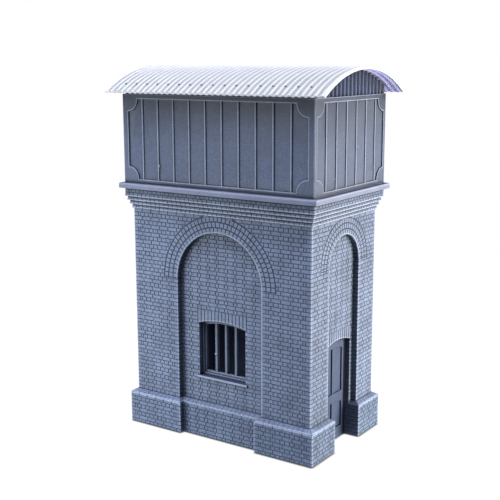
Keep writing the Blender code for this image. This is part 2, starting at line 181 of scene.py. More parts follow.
def add_piece(name, parts, finishes, smooth=None, instead_of=()):
    """One mesh from parts, smooth where faces meet at less than an angle, in place of some nodes."""
    points, faces, marks = join(parts)
    mesh = bpy.data.meshes.new(name)
    mesh.from_pydata(points.tolist(), [], faces)
    for finish in finishes:
        mesh.materials.append(finish)
    mesh.polygons.foreach_set("material_index", marks.astype(np.int32))
    if smooth is not None:
        mesh.shade_smooth()
        mesh.set_sharp_from_angle(angle=math.radians(smooth))
    piece = bpy.data.objects.new(name, mesh)
    bpy.context.scene.collection.objects.link(piece)
    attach(piece, "root")
    if instead_of:
        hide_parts(*instead_of)
    print(f"{name}: {len(mesh.vertices)} points, {len(mesh.polygons)} faces")


print("a tube of three rings of four points has", sum(len(group) for group in capped(3, 4)), "faces")

# %% [markdown]
# ## The resin
#
# The whole model is one print in a blue-grey resin. Close up it isn't one flat colour: the resin
# clouds a little over a few millimetres, it is speckled where it was washed, and fine layers run
# level through it. An image of a print could be wrapped on, but noise on Object coordinates fits
# every piece without a seam, and its size is known in millimetres. The clouds and the speckle mix
# three near tones. The layers and the speckle also lift the surface by a few thousandths.
#
# In the soft light of a photograph, inner corners and crevices are darker than a few lamps make
# them. Ambient Occlusion measures how open a place is. Once with a wide reach and once with a short
# one, raised to a power that each finish gives, it darkens the tone. The tank also lies in the soft
# shade of the roof's eaves, so its tone falls off towards its top.

# %% Nodes of a material
def feed(made, inputs):
    """Set each named input of a node to a value, or link it to the output of another node."""
    for socket, value in inputs.items():
        if isinstance(value, bpy.types.NodeSocket):
            made.id_data.links.new(value, made.inputs[socket])
        else:
            made.inputs[socket].default_value = value


def node(tree, kind, output, inputs=None, **options):
    """Add a node with its options and inputs to a tree, and give one of its outputs."""
    made = tree.nodes.new("ShaderNode" + kind)
    for option, value in options.items():
        setattr(made, option, value)
    feed(made, inputs or {})
    return made.outputs[output]


# %% A resin finish
LAYER, RELIEF = 0.1 * MM, 0.012 * MM
LAYER_SCALE = 2 * math.pi / (20 * LAYER)  # at scale 1 Blender's level bands are 2 pi / 20 high
CLOUDS = {"Scale": 1 / (5 * MM), "Detail": 3, "Roughness": 0.55}
GRAINS = {"Scale": 1 / (0.25 * MM), "Detail": 1, "Roughness": 0.5}
TONE_STOPS = (0.42, 0.5, 0.58)
GLOSS_SPREAD = 0.08
CORNER_REACH, CREVICE_REACH, SHADE_SAMPLES = 16 * MM, 1.1 * MM, 6
EAVE_SHADE_LOW, EAVE_SHADE_HIGH = 78 * MM, 92 * MM


def resin(name, middle, roughness, spread=0.17, speckle=0.65, corners=1.0, crevices=0.0, eave=1.0):
    """A printed resin: two sizes of noise mix three tones, and level bands and speckle raise it.

    The three are the middle tone times 1 - spread, 1 and 1 + spread. corners and crevices are the
    powers of the shade of a wide and a short reach, and eave is the share left at the tank's top.
    """
    finish = bpy.data.materials.new(name)
    finish.use_nodes = True
    tree = finish.node_tree
    place = node(tree, "TexCoord", "Object")
    clouds, grains = (node(tree, "TexNoise", "Fac", dict(size, Vector=place)) for size in (CLOUDS, GRAINS))
    blend = node(tree, "Mix", "Result", {"Factor": speckle, "A": clouds, "B": grains}, data_type="FLOAT")
    tone = node(tree, "ValToRGB", "Color", {"Fac": blend})
    stops = tone.node.color_ramp.elements
    stops.new(TONE_STOPS[1])
    for stop, where, share in zip(stops, TONE_STOPS, (1 - spread, 1, 1 + spread)):
        stop.position = where
        stop.color = (*(share * np.array(middle)), 1.0)

    shades = []
    for reach, strength in ((CORNER_REACH, corners), (CREVICE_REACH, crevices)):
        if strength > 0:
            open_sky = node(tree, "AmbientOcclusion", "AO", {"Distance": reach}, samples=SHADE_SAMPLES)
            shades.append(node(tree, "Math", "Value", {0: open_sky, 1: strength}, operation="POWER"))
    if eave < 1:
        heights = {"Value": node(tree, "SeparateXYZ", "Z", {"Vector": place}), "From Min": EAVE_SHADE_LOW,
                   "From Max": EAVE_SHADE_HIGH, "To Min": 1.0, "To Max": eave}
        shades.append(node(tree, "MapRange", "Result", heights, interpolation_type="SMOOTHSTEP"))
    for shade in shades:
        tone = node(tree, "VectorMath", "Vector", {0: tone, "Scale": shade}, operation="SCALE")

    gloss = node(tree, "MapRange", "Result", {"Value": grains, "To Min": roughness - GLOSS_SPREAD,
                                              "To Max": roughness + GLOSS_SPREAD})
    layers = node(tree, "TexWave", "Fac", {"Vector": place, "Scale": LAYER_SCALE},
                  wave_type="BANDS", bands_direction="Z", wave_profile="SIN")
    skin = node(tree, "Math", "Value", {0: layers, 1: grains}, operation="ADD")
    bump = node(tree, "Bump", "Normal", {"Height": skin, "Strength": 1.0, "Distance": RELIEF})
    feed(tree.nodes["Principled BSDF"], {"Base Color": tone, "Roughness": gloss, "Normal": bump,
                                         "Metallic": 0.0, "IOR": 1.5})
    return finish


BRICK = resin("brick_face_resin", (0.125, 0.171, 0.260), 0.60, spread=0.30)
# The plinth's bricks: a darker copy of the brick finish, painted shade towards the foot.
PLINTH_BRICK_SHADED = resin("plinth_brick_painted_shade", (0.104, 0.151, 0.236), 0.60, spread=0.30)
# Arrises and beads: a paler copy of the brick finish, a painted highlight.
BRICK_EDGE_HIGHLIGHT = resin("brick_edge_painted_highlight", (0.255, 0.320, 0.440), 0.55)
MORTAR = resin("mortar_joint_resin", (0.047, 0.070, 0.146), 0.75, corners=0.5)
RECESS_JOINT = resin("recess_joint_resin", (0.080, 0.114, 0.202), 0.75, corners=0.5)
ARCH_JOINT = resin("arch_joint_resin", (0.014, 0.025, 0.066), 0.75, corners=0.5)
print("brick resins:", ", ".join(material.name for material in bpy.data.materials))

# %% [markdown]
# ## One brick
#
# A printed brick is a low pad with soft edges that stands about a tenth of a millimetre out of the
# joints round it. It could be a bevelled cube, copied thousands of times, but then every cut brick
# beside an arch would need its own. Here a brick starts as any four-cornered cell of the wall. Each
# edge of the cell moves in by half a joint, and three smaller rings above it make the rounded rim.
#
# At a corner of the building the edge moves out instead, so that the bricks of two sides close up.
# There the rim is the half of a wider quarter round whose other half belongs to the brick round the
# corner. The resin is a little translucent, so light makes such an arris look paler than a flat face,
# and its faces get a paler finish: a painted highlight.

# %% Raise bricks from cells
COURSE = 1.078 * MM
JOINT = 0.20 * MM
RAISE, SUNK = 0.09 * MM, 0.03 * MM
ARRIS, ARRIS_MARGIN = 0.20 * MM, 0.34 * MM
ARRIS_TURN = np.radians([45.0, 67.5, 90.0])
RIM_LIFT = np.concatenate([[-SUNK], RAISE - ARRIS * (1 - np.sin(ARRIS_TURN))])
RIM_IN = np.array([0.0, 0.0, 0.012, 0.045]) * MM
ARRIS_IN = np.concatenate([[RAISE + SUNK], ARRIS * (1 - np.cos(ARRIS_TURN[:2])), [ARRIS_MARGIN]])
BRICK_POINTS = 4 * len(RIM_LIFT)


def unit(vectors):
    """Vectors over their own lengths."""
    return vectors / np.linalg.norm(vectors, axis=-1, keepdims=True)


def raise_bricks(cells, outward, inset):
    """A part of bricks over cells (n, 4, 3). inset (n, 4) is how far edge k, corner k to k + 1, moves in.

    At a corner the two edge lines, moved in by t and u, cross at the corner plus a times one inward
    direction plus b times the other, with a = (t - c u) / (1 - c c), b = (u - c t) / (1 - c c) and
    c the dot product of the two directions. An edge whose inset is below zero is an arris, and the
    faces of an arris are marked 1.
    """
    cells, inset = cells.copy(), inset.copy()
    outward = np.broadcast_to(outward, (len(cells), 3))
    faces_away = (np.cross(cells[:, 2] - cells[:, 0], cells[:, 3] - cells[:, 1]) * outward).sum(1) < 0
    cells[faces_away] = cells[faces_away][:, ::-1]
    inset[faces_away] = inset[faces_away][:, [2, 1, 0, 3]]
    after = np.cross(outward[:, None, :], unit(np.roll(cells, -1, axis=1) - cells))
    before = np.roll(after, 1, axis=1)
    c = (after * before).sum(2)
    is_arris = inset < 0
    rings = []
    for lift, narrower, narrower_at_arris in zip(RIM_LIFT, RIM_IN, ARRIS_IN):
        u = inset + np.where(is_arris, narrower_at_arris, narrower)
        t = np.roll(u, 1, axis=1)
        a, b = (t - c * u) / (1 - c * c), (u - c * t) / (1 - c * c)
        rings.append(cells + a[..., None] * before + b[..., None] * after + lift * outward[:, None, :])
    points = np.stack(rings, axis=1).reshape(-1, 3)
    pad = np.concatenate([grid_faces(len(rings), 4, around=True), np.arange(4)[None] + BRICK_POINTS - 4])
    faces = np.arange(len(cells))[:, None, None] * BRICK_POINTS + pad
    marks = np.hstack([is_arris] * (len(rings) - 1) + [np.zeros((len(cells), 1), bool)])
    return points, [faces.reshape(-1, 4)], [marks.ravel()]


def lay_flat(work, side, cells, depth, inset):
    """Bricks over cells (n, 4, 2) in s and z that lie at one depth of a side."""
    work.append(raise_bricks(at_depth(side, cells, depth), SIDES[side]["outward"], inset))


def brick_piece(name, work, finish=BRICK):
    """One piece of the bricks that were laid in work."""
    print(name, "has", sum(len(part[0]) for part in work) // BRICK_POINTS, "bricks")
    add_piece(name, work, [finish, BRICK_EDGE_HIGHLIGHT])


print(f"the rim of a brick rises from {1000 * RIM_LIFT[0]:.2f} to {1000 * RIM_LIFT[-1]:.2f} mm")

# %% [markdown]
# ## English bond
#
# The walls are in English bond: a course of stretchers, which show their long side, then a course
# of headers, which show their end. At a corner each header course has a closer, half a header wide,
# second from the end, so that the upright joints of two courses never meet. Between the piers the
# recessed walls start from their middle instead, and their header courses take a narrow and a wide
# header in turn. A course is just its list of joint positions, so that is what these functions give.

# %% Joint positions of a course
CLOSER = HEADER / 2
NARROW_HEADER = 1.1 * MM
LEAST_BRICK = 0.25 * MM
BEDS_EACH_WAY = 8


def pier_joints(start, end, headers):
    """Joints from one end of a pier to the other, spread evenly so that both ends fit."""
    if not headers:
        return np.linspace(start, end, max(1, round(abs(end - start) / STRETCHER)) + 1)
    middle = max(0, round((abs(end - start) - 3 * HEADER) / HEADER))
    steps = np.array([HEADER, CLOSER] + [HEADER] * middle + [CLOSER, HEADER])
    share = np.concatenate([[0.0], np.cumsum(steps)]) / steps.sum()
    return start + share * (end - start)


def open_joints(start, end, headers):
    """Joints from a corner towards an arch, with no closer at the far end. The last one passes it."""
    count = int(abs(end - start) / HEADER) + 2
    steps = [HEADER, CLOSER] + [HEADER] * count if headers else [STRETCHER] * count
    return start + math.copysign(1.0, end - start) * np.concatenate([[0.0], np.cumsum(steps)])


def recess_joints(half, headers):
    """Joints of a recessed wall, counted from its middle, where a stretcher is centred."""
    beds = (np.arange(-BEDS_EACH_WAY, BEDS_EACH_WAY + 1) + 0.5) * STRETCHER
    if headers:
        beds = np.sort(np.concatenate([beds - NARROW_HEADER / 2, beds + NARROW_HEADER / 2]))
    return np.concatenate([[-half], beds[np.abs(beds) < half - LEAST_BRICK], [half]])


def without(joints, start, end):
    """The two lists of joints that are left when an opening from start to end is cut out."""
    return (np.append(joints[joints < start - LEAST_BRICK], start),
            np.insert(joints[joints > end + LEAST_BRICK], 0, end))


print("a pier of three stretchers:", np.round(1000 * pier_joints(0, 3 * STRETCHER, True), 2))


# %% Cells of a course
def corners(*four):
    """The four corners of each cell (n, 4), from four arrays or numbers."""
    return np.stack(np.broadcast_arrays(*four), -1)


def plan_cells(s, z):
    """Cells (n, 4, 2), from four arrays of s and four of z."""
    return np.stack(np.broadcast_arrays(corners(*s), corners(*z)), -1)


def course_cells(joints, bottom, top):
    """Cells between joints: each has its lower left, lower right, upper right and upper left corner."""
    a, b = np.minimum(joints[:-1], joints[1:]), np.maximum(joints[:-1], joints[1:])
    return plan_cells((a, b, b, a), (bottom, bottom, top, top))


def insets(cells, left=None, right=None, bottom=None, top=None):
    """Half a joint on every edge, and other values on the outer edges of the course where given."""
    inset = np.full((len(cells), 4), JOINT / 2)
    for edge, value in ((0, bottom), (2, top)):
        if value is not None:
            inset[:, edge] = value
    if left is not None:
        inset[np.argmin(cells[:, 0, 0]), 3] = left
    if right is not None:
        inset[np.argmax(cells[:, 1, 0]), 1] = right
    return inset


first_cell = course_cells(pier_joints(0, 3 * STRETCHER, True), 0, COURSE)[0]
print("its first cell:", np.round(1000 * first_cell, 2).tolist())

# %% [markdown]
# ## Walls, piers and arches
#
# Each side has two piers with an arch between them that carries the cornice, and a recessed wall
# behind it. Courses run from the corners of the building. Beside the arch they are cut along its
# outer circle. The arch is three rings of headers whose joints all point at the centre. Where a pier
# ends at the recess, the bricks turn the corner and show their ends on the narrow return.
#
# The window and the doorway have a segmental head, a part of a circle that is much wider than the
# opening, under a row of upright bricks, the soldiers.

# %% Heights and openings
WALL_COURSES = 48
HAIR, SLACK = 0.02 * MM, 0.2 * MM
WINDOW = {"half": 7.6 * MM, "bottom": high("window_sill_front")[2], "spring": 31.8 * MM, "rise": 1.15 * MM,
          "top": PLINTH_TOP + 24 * COURSE, "set_back": 1.3 * MM, "soldiers": 14, "soldier_half": 7.92 * MM}
DOORWAY = {"half": 6.55 * MM, "bottom": PLINTH_TOP, "spring": 27.5 * MM, "rise": 1.25 * MM,
           "top": PLINTH_TOP + 20 * COURSE, "set_back": 1.3 * MM, "soldiers": 12, "soldier_half": 6.9 * MM}
OPENINGS = {"front": WINDOW, "back": WINDOW, "left": None, "right": DOORWAY}


def head_height(opening, s):
    """Height of a segmental head at s: a circle through both springings and the crown."""
    radius = (opening["half"] ** 2 + opening["rise"] ** 2) / (2 * opening["rise"])
    across = np.minimum(np.abs(s), opening["half"])
    return opening["spring"] + opening["rise"] - radius + np.sqrt(radius ** 2 - across ** 2)


def half_width(radius, spring, z):
    """Half width of an arch at a height: the root of radius squared minus height squared."""
    rise = np.maximum(np.asarray(z, float) - spring, 0.0)
    return np.sqrt(np.maximum(radius ** 2 - rise ** 2, 0.0))


def wall_courses():
    """Bottom, top and kind of each course of the walls; the lowest is a header course."""
    return [(PLINTH_TOP + k * COURSE, PLINTH_TOP + (k + 1) * COURSE, k % 2 == 0) for k in range(WALL_COURSES)]


print(f"{WALL_COURSES} courses, window head at {1000 * head_height(WINDOW, 0.0):.2f} mm")

# %% Piers and the brickwork beside the arches
LEAST_CUT, SLIVER = 0.3 * MM, 0.1 * MM
SAME = 1e-9


def lay_piers(work, side):
    """Bricks on the two piers and the spandrels of one side, each course from the corner inwards.

    Beside the arch no corner of a brick lies further in than the half width of the outer circle at
    its height. A pair of insets is (corner, middle), turned round where the course runs to the left.
    """
    half, recess, spring = (SIDES[side][size] for size in ("half", "recess", "spring"))
    outer = recess + ARCH_DEPTH
    for way in (-1, 1):
        for bottom, top, headers in wall_courses():
            if top <= spring + HAIR:
                cells = course_cells(pier_joints(way * half, way * recess, headers), bottom, top)
                lay_flat(work, side, cells, 0.0, insets(cells, -RAISE, -RAISE))
                continue
            cells = course_cells(open_joints(way * half, 0.0, headers), bottom, top)
            limit = half_width(outer, spring, cells[..., 1])
            s = way * cells[..., 0]
            shown = s.max(1) - limit.mean(1) > LEAST_CUT
            cells, s, limit = cells[shown], s[shown], limit[shown]
            far = s.max(1, keepdims=True)
            cut = np.minimum(np.maximum(s, limit), far - SLIVER)
            cells[..., 0] = way * np.where(s < far - SAME, cut, far)
            lay_flat(work, side, cells, 0.0, insets(cells, *(-RAISE, None)[::-way]))
            if bottom < spring:
                cells = course_cells(pier_joints(way * outer, way * recess, True), bottom, spring)
                lay_flat(work, side, cells, 0.0, insets(cells, *(None, -RAISE)[::-way]))


print("arches spring at", {side: round(1000 * place["spring"], 2) for side, place in SIDES.items()}, "mm")

# %% Arch rings and their soffit
RING_JOINT, RADIAL_JOINT, ARCH_EDGE_JOINT = 0.26 * MM, 0.22 * MM, 0.34 * MM
LONG_ARCH, END_ARCH = ((36, 39, 42), 1.0), ((23, 28, 30), 0.6)


def lay_arch(work, side):
    """Three rings of headers, and the underside of the lowest ring.

    The joints of a ring turn from pi to 0 in steps of pi / n. On the end walls they start with a part
    of a step, so that the first and the last are part stones.
    """
    place = SIDES[side]
    counts, first = LONG_ARCH if side in LONG_SIDES else END_ARCH

    def turns(count):
        share = np.concatenate([[0.0], (np.arange(count) + first) / count, [1.0]])
        angle = math.pi * (1 - share[:-1] if first == 1.0 else 1 - share)
        return angle[:-1], angle[1:]

    def on_arch(radius, turn):
        return np.stack([radius * np.cos(turn), place["spring"] + radius * np.sin(turn)], 1)

    for ring, count in enumerate(counts):
        inner, outer = place["recess"] + ring * HEADER, place["recess"] + (ring + 1) * HEADER
        a, b = turns(count)
        cells = np.stack([on_arch(inner, a), on_arch(inner, b), on_arch(outer, b), on_arch(outer, a)], 1)
        inset = insets(cells, bottom=-RAISE if ring == 0 else RING_JOINT / 2,
                       top=ARCH_EDGE_JOINT / 2 if ring == ARCH_RINGS - 1 else RING_JOINT / 2)
        inset[:, 1] = inset[:, 3] = RADIAL_JOINT / 2
        lay_flat(work, side, cells, 0.0, inset)

    a, b = turns(counts[0])
    (s0, z0), (s1, z1) = on_arch(place["recess"], a).T, on_arch(place["recess"], b).T
    cells = on_side(side, corners(s0, s1, s1, s0), corners(0.0, 0.0, RECESS, RECESS), corners(z0, z1, z1, z0))
    middle = (a + b)[:, None] / 2
    to_centre = -(np.cos(middle) * place["along"] + np.sin(middle) * UP)
    work.append(raise_bricks(cells, to_centre, insets(cells, bottom=-RAISE, top=0.0)))


print("stones in the rings of the long sides:", LONG_ARCH[0], "and of the ends:", END_ARCH[0])


# %% Returns and recessed walls
RECESS_FACE = RECESS + 0.07 * MM
NARROWEST_COURSE = 0.8 * MM


def lay_return(work, side, s, front, rear, rows):
    """Bricks on the narrow upright face at s beside a recess or an opening, looking at its middle.

    A row is its bottom, its top and where its joints are, as shares of the way from front to rear.
    """
    for bottom, top, shares in rows:
        edges = front + (rear - front) * np.asarray(shares)
        a, b = edges[:-1], edges[1:]
        cells = on_side(side, s, corners(a, b, b, a), corners(bottom, bottom, top, top))
        inset = insets(cells)
        inset[0, 3], inset[-1, 1] = -RAISE, 0.0
        work.append(raise_bricks(cells, -math.copysign(1.0, s) * SIDES[side]["along"], inset))


def lay_recess(work, side):
    """Bricks on the wall behind an arch, cut out at its opening."""
    place, opening = SIDES[side], OPENINGS[side]
    for bottom, top, headers in wall_courses():
        width = float(half_width(place["recess"], place["spring"], bottom))
        if width < NARROWEST_COURSE:
            break
        runs, ends = [recess_joints(place["recess"], headers)], [(0.0, 0.0)]
        if opening and opening["bottom"] - COURSE / 2 < (bottom + top) / 2 < opening["top"]:
            by_soldiers = top > opening["spring"]
            beside, edge = (opening["soldier_half"], None) if by_soldiers else (opening["half"], -RAISE)
            runs, ends = without(runs[0], -beside, beside), [(0.0, edge), (edge, 0.0)]
        for joints, end in zip(runs, ends):
            cells = course_cells(joints, bottom, top)
            shown = np.abs(cells[..., 0]).min(1) < width
            if shown.any():
                inset = insets(cells[shown], *(end if shown.all() else ()))
                lay_flat(work, side, cells[shown], RECESS_FACE, inset)


print(f"the recessed walls lie {1000 * RECESS_FACE:.2f} mm behind the piers")


# %% Round an opening
def lay_opening(work, side, opening):
    """Soldiers over the head of an opening, and the bricks that line its head and its jambs."""
    s = np.linspace(-opening["soldier_half"], opening["soldier_half"], opening["soldiers"] + 1)
    a, b = s[:-1], s[1:]
    cells = plan_cells((a, b, b, a), (head_height(opening, a), head_height(opening, b),
                                      opening["top"], opening["top"]))
    lay_flat(work, side, cells, RECESS_FACE, insets(cells, bottom=-RAISE))

    rear = RECESS + opening["set_back"]
    s = np.clip(s, -opening["half"], opening["half"])
    a, b = s[:-1], s[1:]
    z0, z1 = head_height(opening, a), head_height(opening, b)
    cells = on_side(side, corners(a, b, b, a), corners(RECESS, RECESS, rear, rear), corners(z0, z1, z1, z0))
    work.append(raise_bricks(cells, -UP, insets(cells, bottom=-RAISE, top=0.0)))

    rows = [(max(bottom, opening["bottom"]), min(top, opening["spring"]), (0, 1))
            for bottom, top, _ in wall_courses()
            if top > opening["bottom"] + SLACK and bottom < opening["spring"] - SLACK]
    for way in (-1, 1):
        lay_return(work, side, way * opening["half"], RECESS, rear, rows)


print("soldiers over the window:", WINDOW["soldiers"], "and over the doorway:", DOORWAY["soldiers"])

# %% Lay the four sides
for side, place in SIDES.items():
    work = []
    lay_piers(work, side)
    lay_arch(work, side)
    lay_recess(work, side)
    if OPENINGS[side]:
        lay_opening(work, side, OPENINGS[side])
    rows = [(bottom, min(top, place["spring"]), (0, 1))
            for bottom, top, _ in wall_courses() if bottom < place["spring"] - SLACK]
    for way in (-1, 1):
        lay_return(work, side, way * place["recess"], 0.0, RECESS, rows)
    brick_piece("bricks_" + side, work)

# %% [markdown]
# ## Plinth
#
# At the foot the brickwork stands out in a plinth of eight courses with a sloping top. On the real
# building the slope is made of special bricks, cut to shape. They show as stones about a header
# long, with joints so fine that only a faint line is left. It could be a chamfer on the solid with a
# line drawn on it, but as bricks with a very small inset it gets real joints.

# %% Plinth courses and sloping tops
PLINTH_OUT, PLINTH_END_OUT = 1.55 * MM, 1.35 * MM
SLOPE_FOOT = PLINTH_TOP - 0.92 * MM
PLINTH_COURSES = 8
FOOT = 0.3 * MM
ON_EDGE = -0.001 * MM
NEARLY_ALL = 0.9
SLOPE_INSET = np.array([[-0.02, 0.0, 0.22, 0.0]]) * MM
SLOPE_JOINT = np.array([[0.0, 0.03, 0.0, 0.03]]) * MM


def plinth_rows():
    """Bottom, top and kind of the plinth's upright courses; the lowest is a header course."""
    edges = np.linspace(0.0, SLOPE_FOOT, PLINTH_COURSES + 1)
    return [(max(a, FOOT), b, k % 2 == 0) for k, (a, b) in enumerate(zip(edges[:-1], edges[1:]))]


def lay_slope(work, side, low_ends, high_ends, joint_ends, depth, way=1):
    """Stones on a sloping top. A pair says where an edge, or the row of joints, starts and stops."""
    start, stop = joint_ends
    joints = np.linspace(start, stop, round(abs(stop - start) / HEADER) + 1)[1:-1]
    low_edge, high_edge = (way * np.array([first, *joints, last]) for first, last in (low_ends, high_ends))
    cells = on_side(side, corners(low_edge[:-1], low_edge[1:], high_edge[1:], high_edge[:-1]),
                    depth + corners(0.0, 0.0, PLINTH_OUT, PLINTH_OUT),
                    corners(SLOPE_FOOT, SLOPE_FOOT, PLINTH_TOP, PLINTH_TOP))
    tilt = unit(SIDES[side]["outward"] * (PLINTH_TOP - SLOPE_FOOT) + UP * PLINTH_OUT)
    work.append(raise_bricks(cells, tilt, np.repeat(SLOPE_INSET + SLOPE_JOINT, len(cells), 0)))


plinth, slopes = [], []
for side, place in SIDES.items():
    half, recess = place["half"], place["recess"]
    corner, end = half + PLINTH_OUT, recess - PLINTH_END_OUT
    rear = RECESS + DOORWAY["set_back"] if side == "right" else RECESS - PLINTH_OUT
    for way in (-1, 1):
        rows = []
        for bottom, top, headers in plinth_rows():
            cells = course_cells(pier_joints(way * corner, way * end, headers), bottom, top)
            on_slope = ON_EDGE if top > SLOPE_FOOT + ON_EDGE else None
            lay_flat(plinth, side, cells, -PLINTH_OUT, insets(cells, -RAISE, -RAISE, top=on_slope))
            first = (HEADER if headers else STRETCHER) / (rear + PLINTH_OUT)
            rows.append((bottom, top, (0, 1) if first > NEARLY_ALL else (0, first, 1)))
        lay_return(plinth, side, way * end, -PLINTH_OUT, rear, rows)
        lay_slope(slopes, side, (corner, end), (half, recess), (half, recess), -PLINTH_OUT, way)
        inmost = rear if side == "right" else RECESS
        cell = on_side(side, way * corners(end, end, recess, recess),
                       corners(-PLINTH_OUT, inmost, inmost, 0.0),
                       corners(SLOPE_FOOT, SLOPE_FOOT, PLINTH_TOP, PLINTH_TOP))
        lean = unit(-way * place["along"] * (PLINTH_TOP - SLOPE_FOOT) + UP * PLINTH_END_OUT)
        slopes.append(raise_bricks(cell[None], lean, SLOPE_INSET))
    if side != "right":
        for bottom, top, headers in plinth_rows():
            cells = course_cells(recess_joints(end, headers), bottom, top)
            lay_flat(plinth, side, cells, RECESS - PLINTH_OUT, insets(cells, 0.0, 0.0))
        lay_slope(slopes, side, (-end, end), (-recess, recess), (-end, end), RECESS - PLINTH_OUT)
# The plinth gets the darker brick finish: painted shade towards the foot.
brick_piece("bricks_plinth", plinth, PLINTH_BRICK_SHADED)
brick_piece("plinth_slopes", slopes)

# %% [markdown]
# ## Pale edges
#
# A thin edge of translucent resin lets light through, so in the photograph a pale line runs along
# each corner of the brickwork, along the heads of the openings and round the arches. The rims of the
# bricks alone are too narrow to show it. A bevel on the solids would move their edges, so a bead is
# laid over each arris instead: one section, flat on both faces and round between them, carried along
# the arris. On the walls it is broken at each joint, so that every brick keeps its own corner. Its
# pale finish is a painted highlight for that line of light.

# %% A bead along an arris
BEAD_LEVEL, BEAD_ROUND, BEAD_WIDTH, BEAD_ROOT = 0.05 * MM, 0.2 * MM, 0.30 * MM, 0.12 * MM
WIDE_BEAD, JAMB_BEAD, THIN_BEAD = 0.40 * MM, 0.2 * MM, 0.12 * MM
BEAD_END, BEAD_PART = 0.3 * MM, 0.07 * MM
BEAD_TURN = np.radians([90.0, 67.5, 45.0, 22.5, 0.0])


def bead(arris, out, into, width=BEAD_WIDTH, levels=(BEAD_LEVEL, BEAD_LEVEL), rounding=BEAD_ROUND):
    """A strip round an arris (n, 3), on the face that looks out and on the one that looks into.

    Each point of the section, a times out plus b times into, is carried along the arris. levels says
    how far the strip stands off the two faces. Its ends turn back into the wall.
    """
    off, under = levels
    section = [(-BEAD_ROOT, -width), (off, -width)]
    section += [(off - rounding * (1 - math.sin(t)), under - rounding * (1 - math.cos(t))) for t in BEAD_TURN]
    section += [(-width, under), (-width, -BEAD_ROOT)]
    into = np.broadcast_to(into, arris.shape)
    line, into = (np.concatenate([row[:1], row, row[-1:]]) for row in (arris, into))
    line[[0, -1]] -= BEAD_END * (out + into[[0, -1]])
    points = np.concatenate([line + a * out + b * into for a, b in section])
    faces = grid_faces(len(section), len(line))
    strips = faces.reshape(len(section) - 1, len(line) - 1, 4)
    one = strips[len(strips) // 2 - 1, len(line) // 2]
    normal = np.cross(points[one[1]] - points[one[0]], points[one[3]] - points[one[0]])
    return points, faces if normal @ (out + into[0]) > 0 else faces[:, ::-1]


def mitre(before, after):
    """How a corner moves when both its edges move by one: their normals' sum over 1 + their product."""
    return (before + after) / (1 + (before * after).sum(1, keepdims=True))


def opening_bead(side, path, depth, width):
    """A bead round the head of an opening: path (n, 2) in s and z runs over it from left to right."""
    run = unit(np.diff(path, axis=0))
    normal = np.stack([run[:, 1], -run[:, 0]], 1)
    lean = mitre(np.concatenate([normal[:1], normal]), np.concatenate([normal, normal[-1:]]))
    into = lean @ np.array([SIDES[side]["along"], UP])
    return bead(at_depth(side, path, depth), SIDES[side]["outward"], into, width)


def course_beads(side, s, depth, way, rows, width=BEAD_WIDTH):
    """A bead for each row (bottom, top) of an upright arris at s; its return looks along way."""
    return [bead(on_side(side, s, depth, [bottom + BEAD_PART, top - BEAD_PART]), SIDES[side]["outward"],
                 way * SIDES[side]["along"], width) for bottom, top in rows]


# %% Where the beads run
HEAD_STEPS, ARCH_STEPS = 16, 48


def wall_rows(bottom, top):
    """The courses of the wall between two heights."""
    rows = [(max(start, bottom), min(stop, top)) for start, stop, _ in wall_courses()]
    return [row for row in rows if row[1] - row[0] > LEAST_CUT]


def arch_path(side, bright):
    """The arris of a recess over the arch, and down its edge on the bright side, -1 or 1."""
    recess, angle = SIDES[side]["recess"], np.linspace(math.pi, 0.0, ARCH_STEPS + 1)
    arc = np.stack([recess * np.cos(angle), SIDES[side]["spring"] + recess * np.sin(angle)], 1)
    foot = [(bright * recess, PLINTH_TOP)]
    return np.concatenate([arc, foot] if bright > 0 else [foot, arc])


def head_path(opening):
    """The arris of an opening over its head, from left to right."""
    s = np.linspace(-opening["half"], opening["half"], HEAD_STEPS + 1)
    return np.stack([s, head_height(opening, s)], 1)


beads = []
foot_rows = [row[:2] for row in plinth_rows()]
for side, place in SIDES.items():
    opening, bright = OPENINGS[side], 1 if side in LONG_SIDES else -1
    beads.append(opening_bead(side, arch_path(side, bright), 0.0, WIDE_BEAD))
    if opening:
        beads.append(opening_bead(side, head_path(opening), RECESS_FACE, THIN_BEAD))
        beads += course_beads(side, bright * opening["half"], RECESS_FACE, -bright,
                              wall_rows(opening["bottom"], opening["spring"]), JAMB_BEAD)
    end = place["recess"] - PLINTH_END_OUT
    runs = [(-place["half"], -end, -PLINTH_OUT), (end, place["half"], -PLINTH_OUT)]
    if side != "right":
        runs.append((-end, end, RECESS - PLINTH_OUT))
    beads += [bead(on_side(side, [start, stop], depth, SLOPE_FOOT), place["outward"], UP, THIN_BEAD)
              for start, stop, depth in runs]
    beads += course_beads(side, bright * end, -PLINTH_OUT, -bright, foot_rows, THIN_BEAD)
    beads += course_beads(side, place["half"], 0.0, 1, wall_rows(PLINTH_TOP, WALL_TOP))
    beads += course_beads(side, place["half"] + PLINTH_OUT, -PLINTH_OUT, 1, foot_rows)
# The beads' paler finish is a painted highlight.
add_piece("brick_arris_beads", beads, [BRICK_EDGE_HIGHLIGHT], smooth=50)
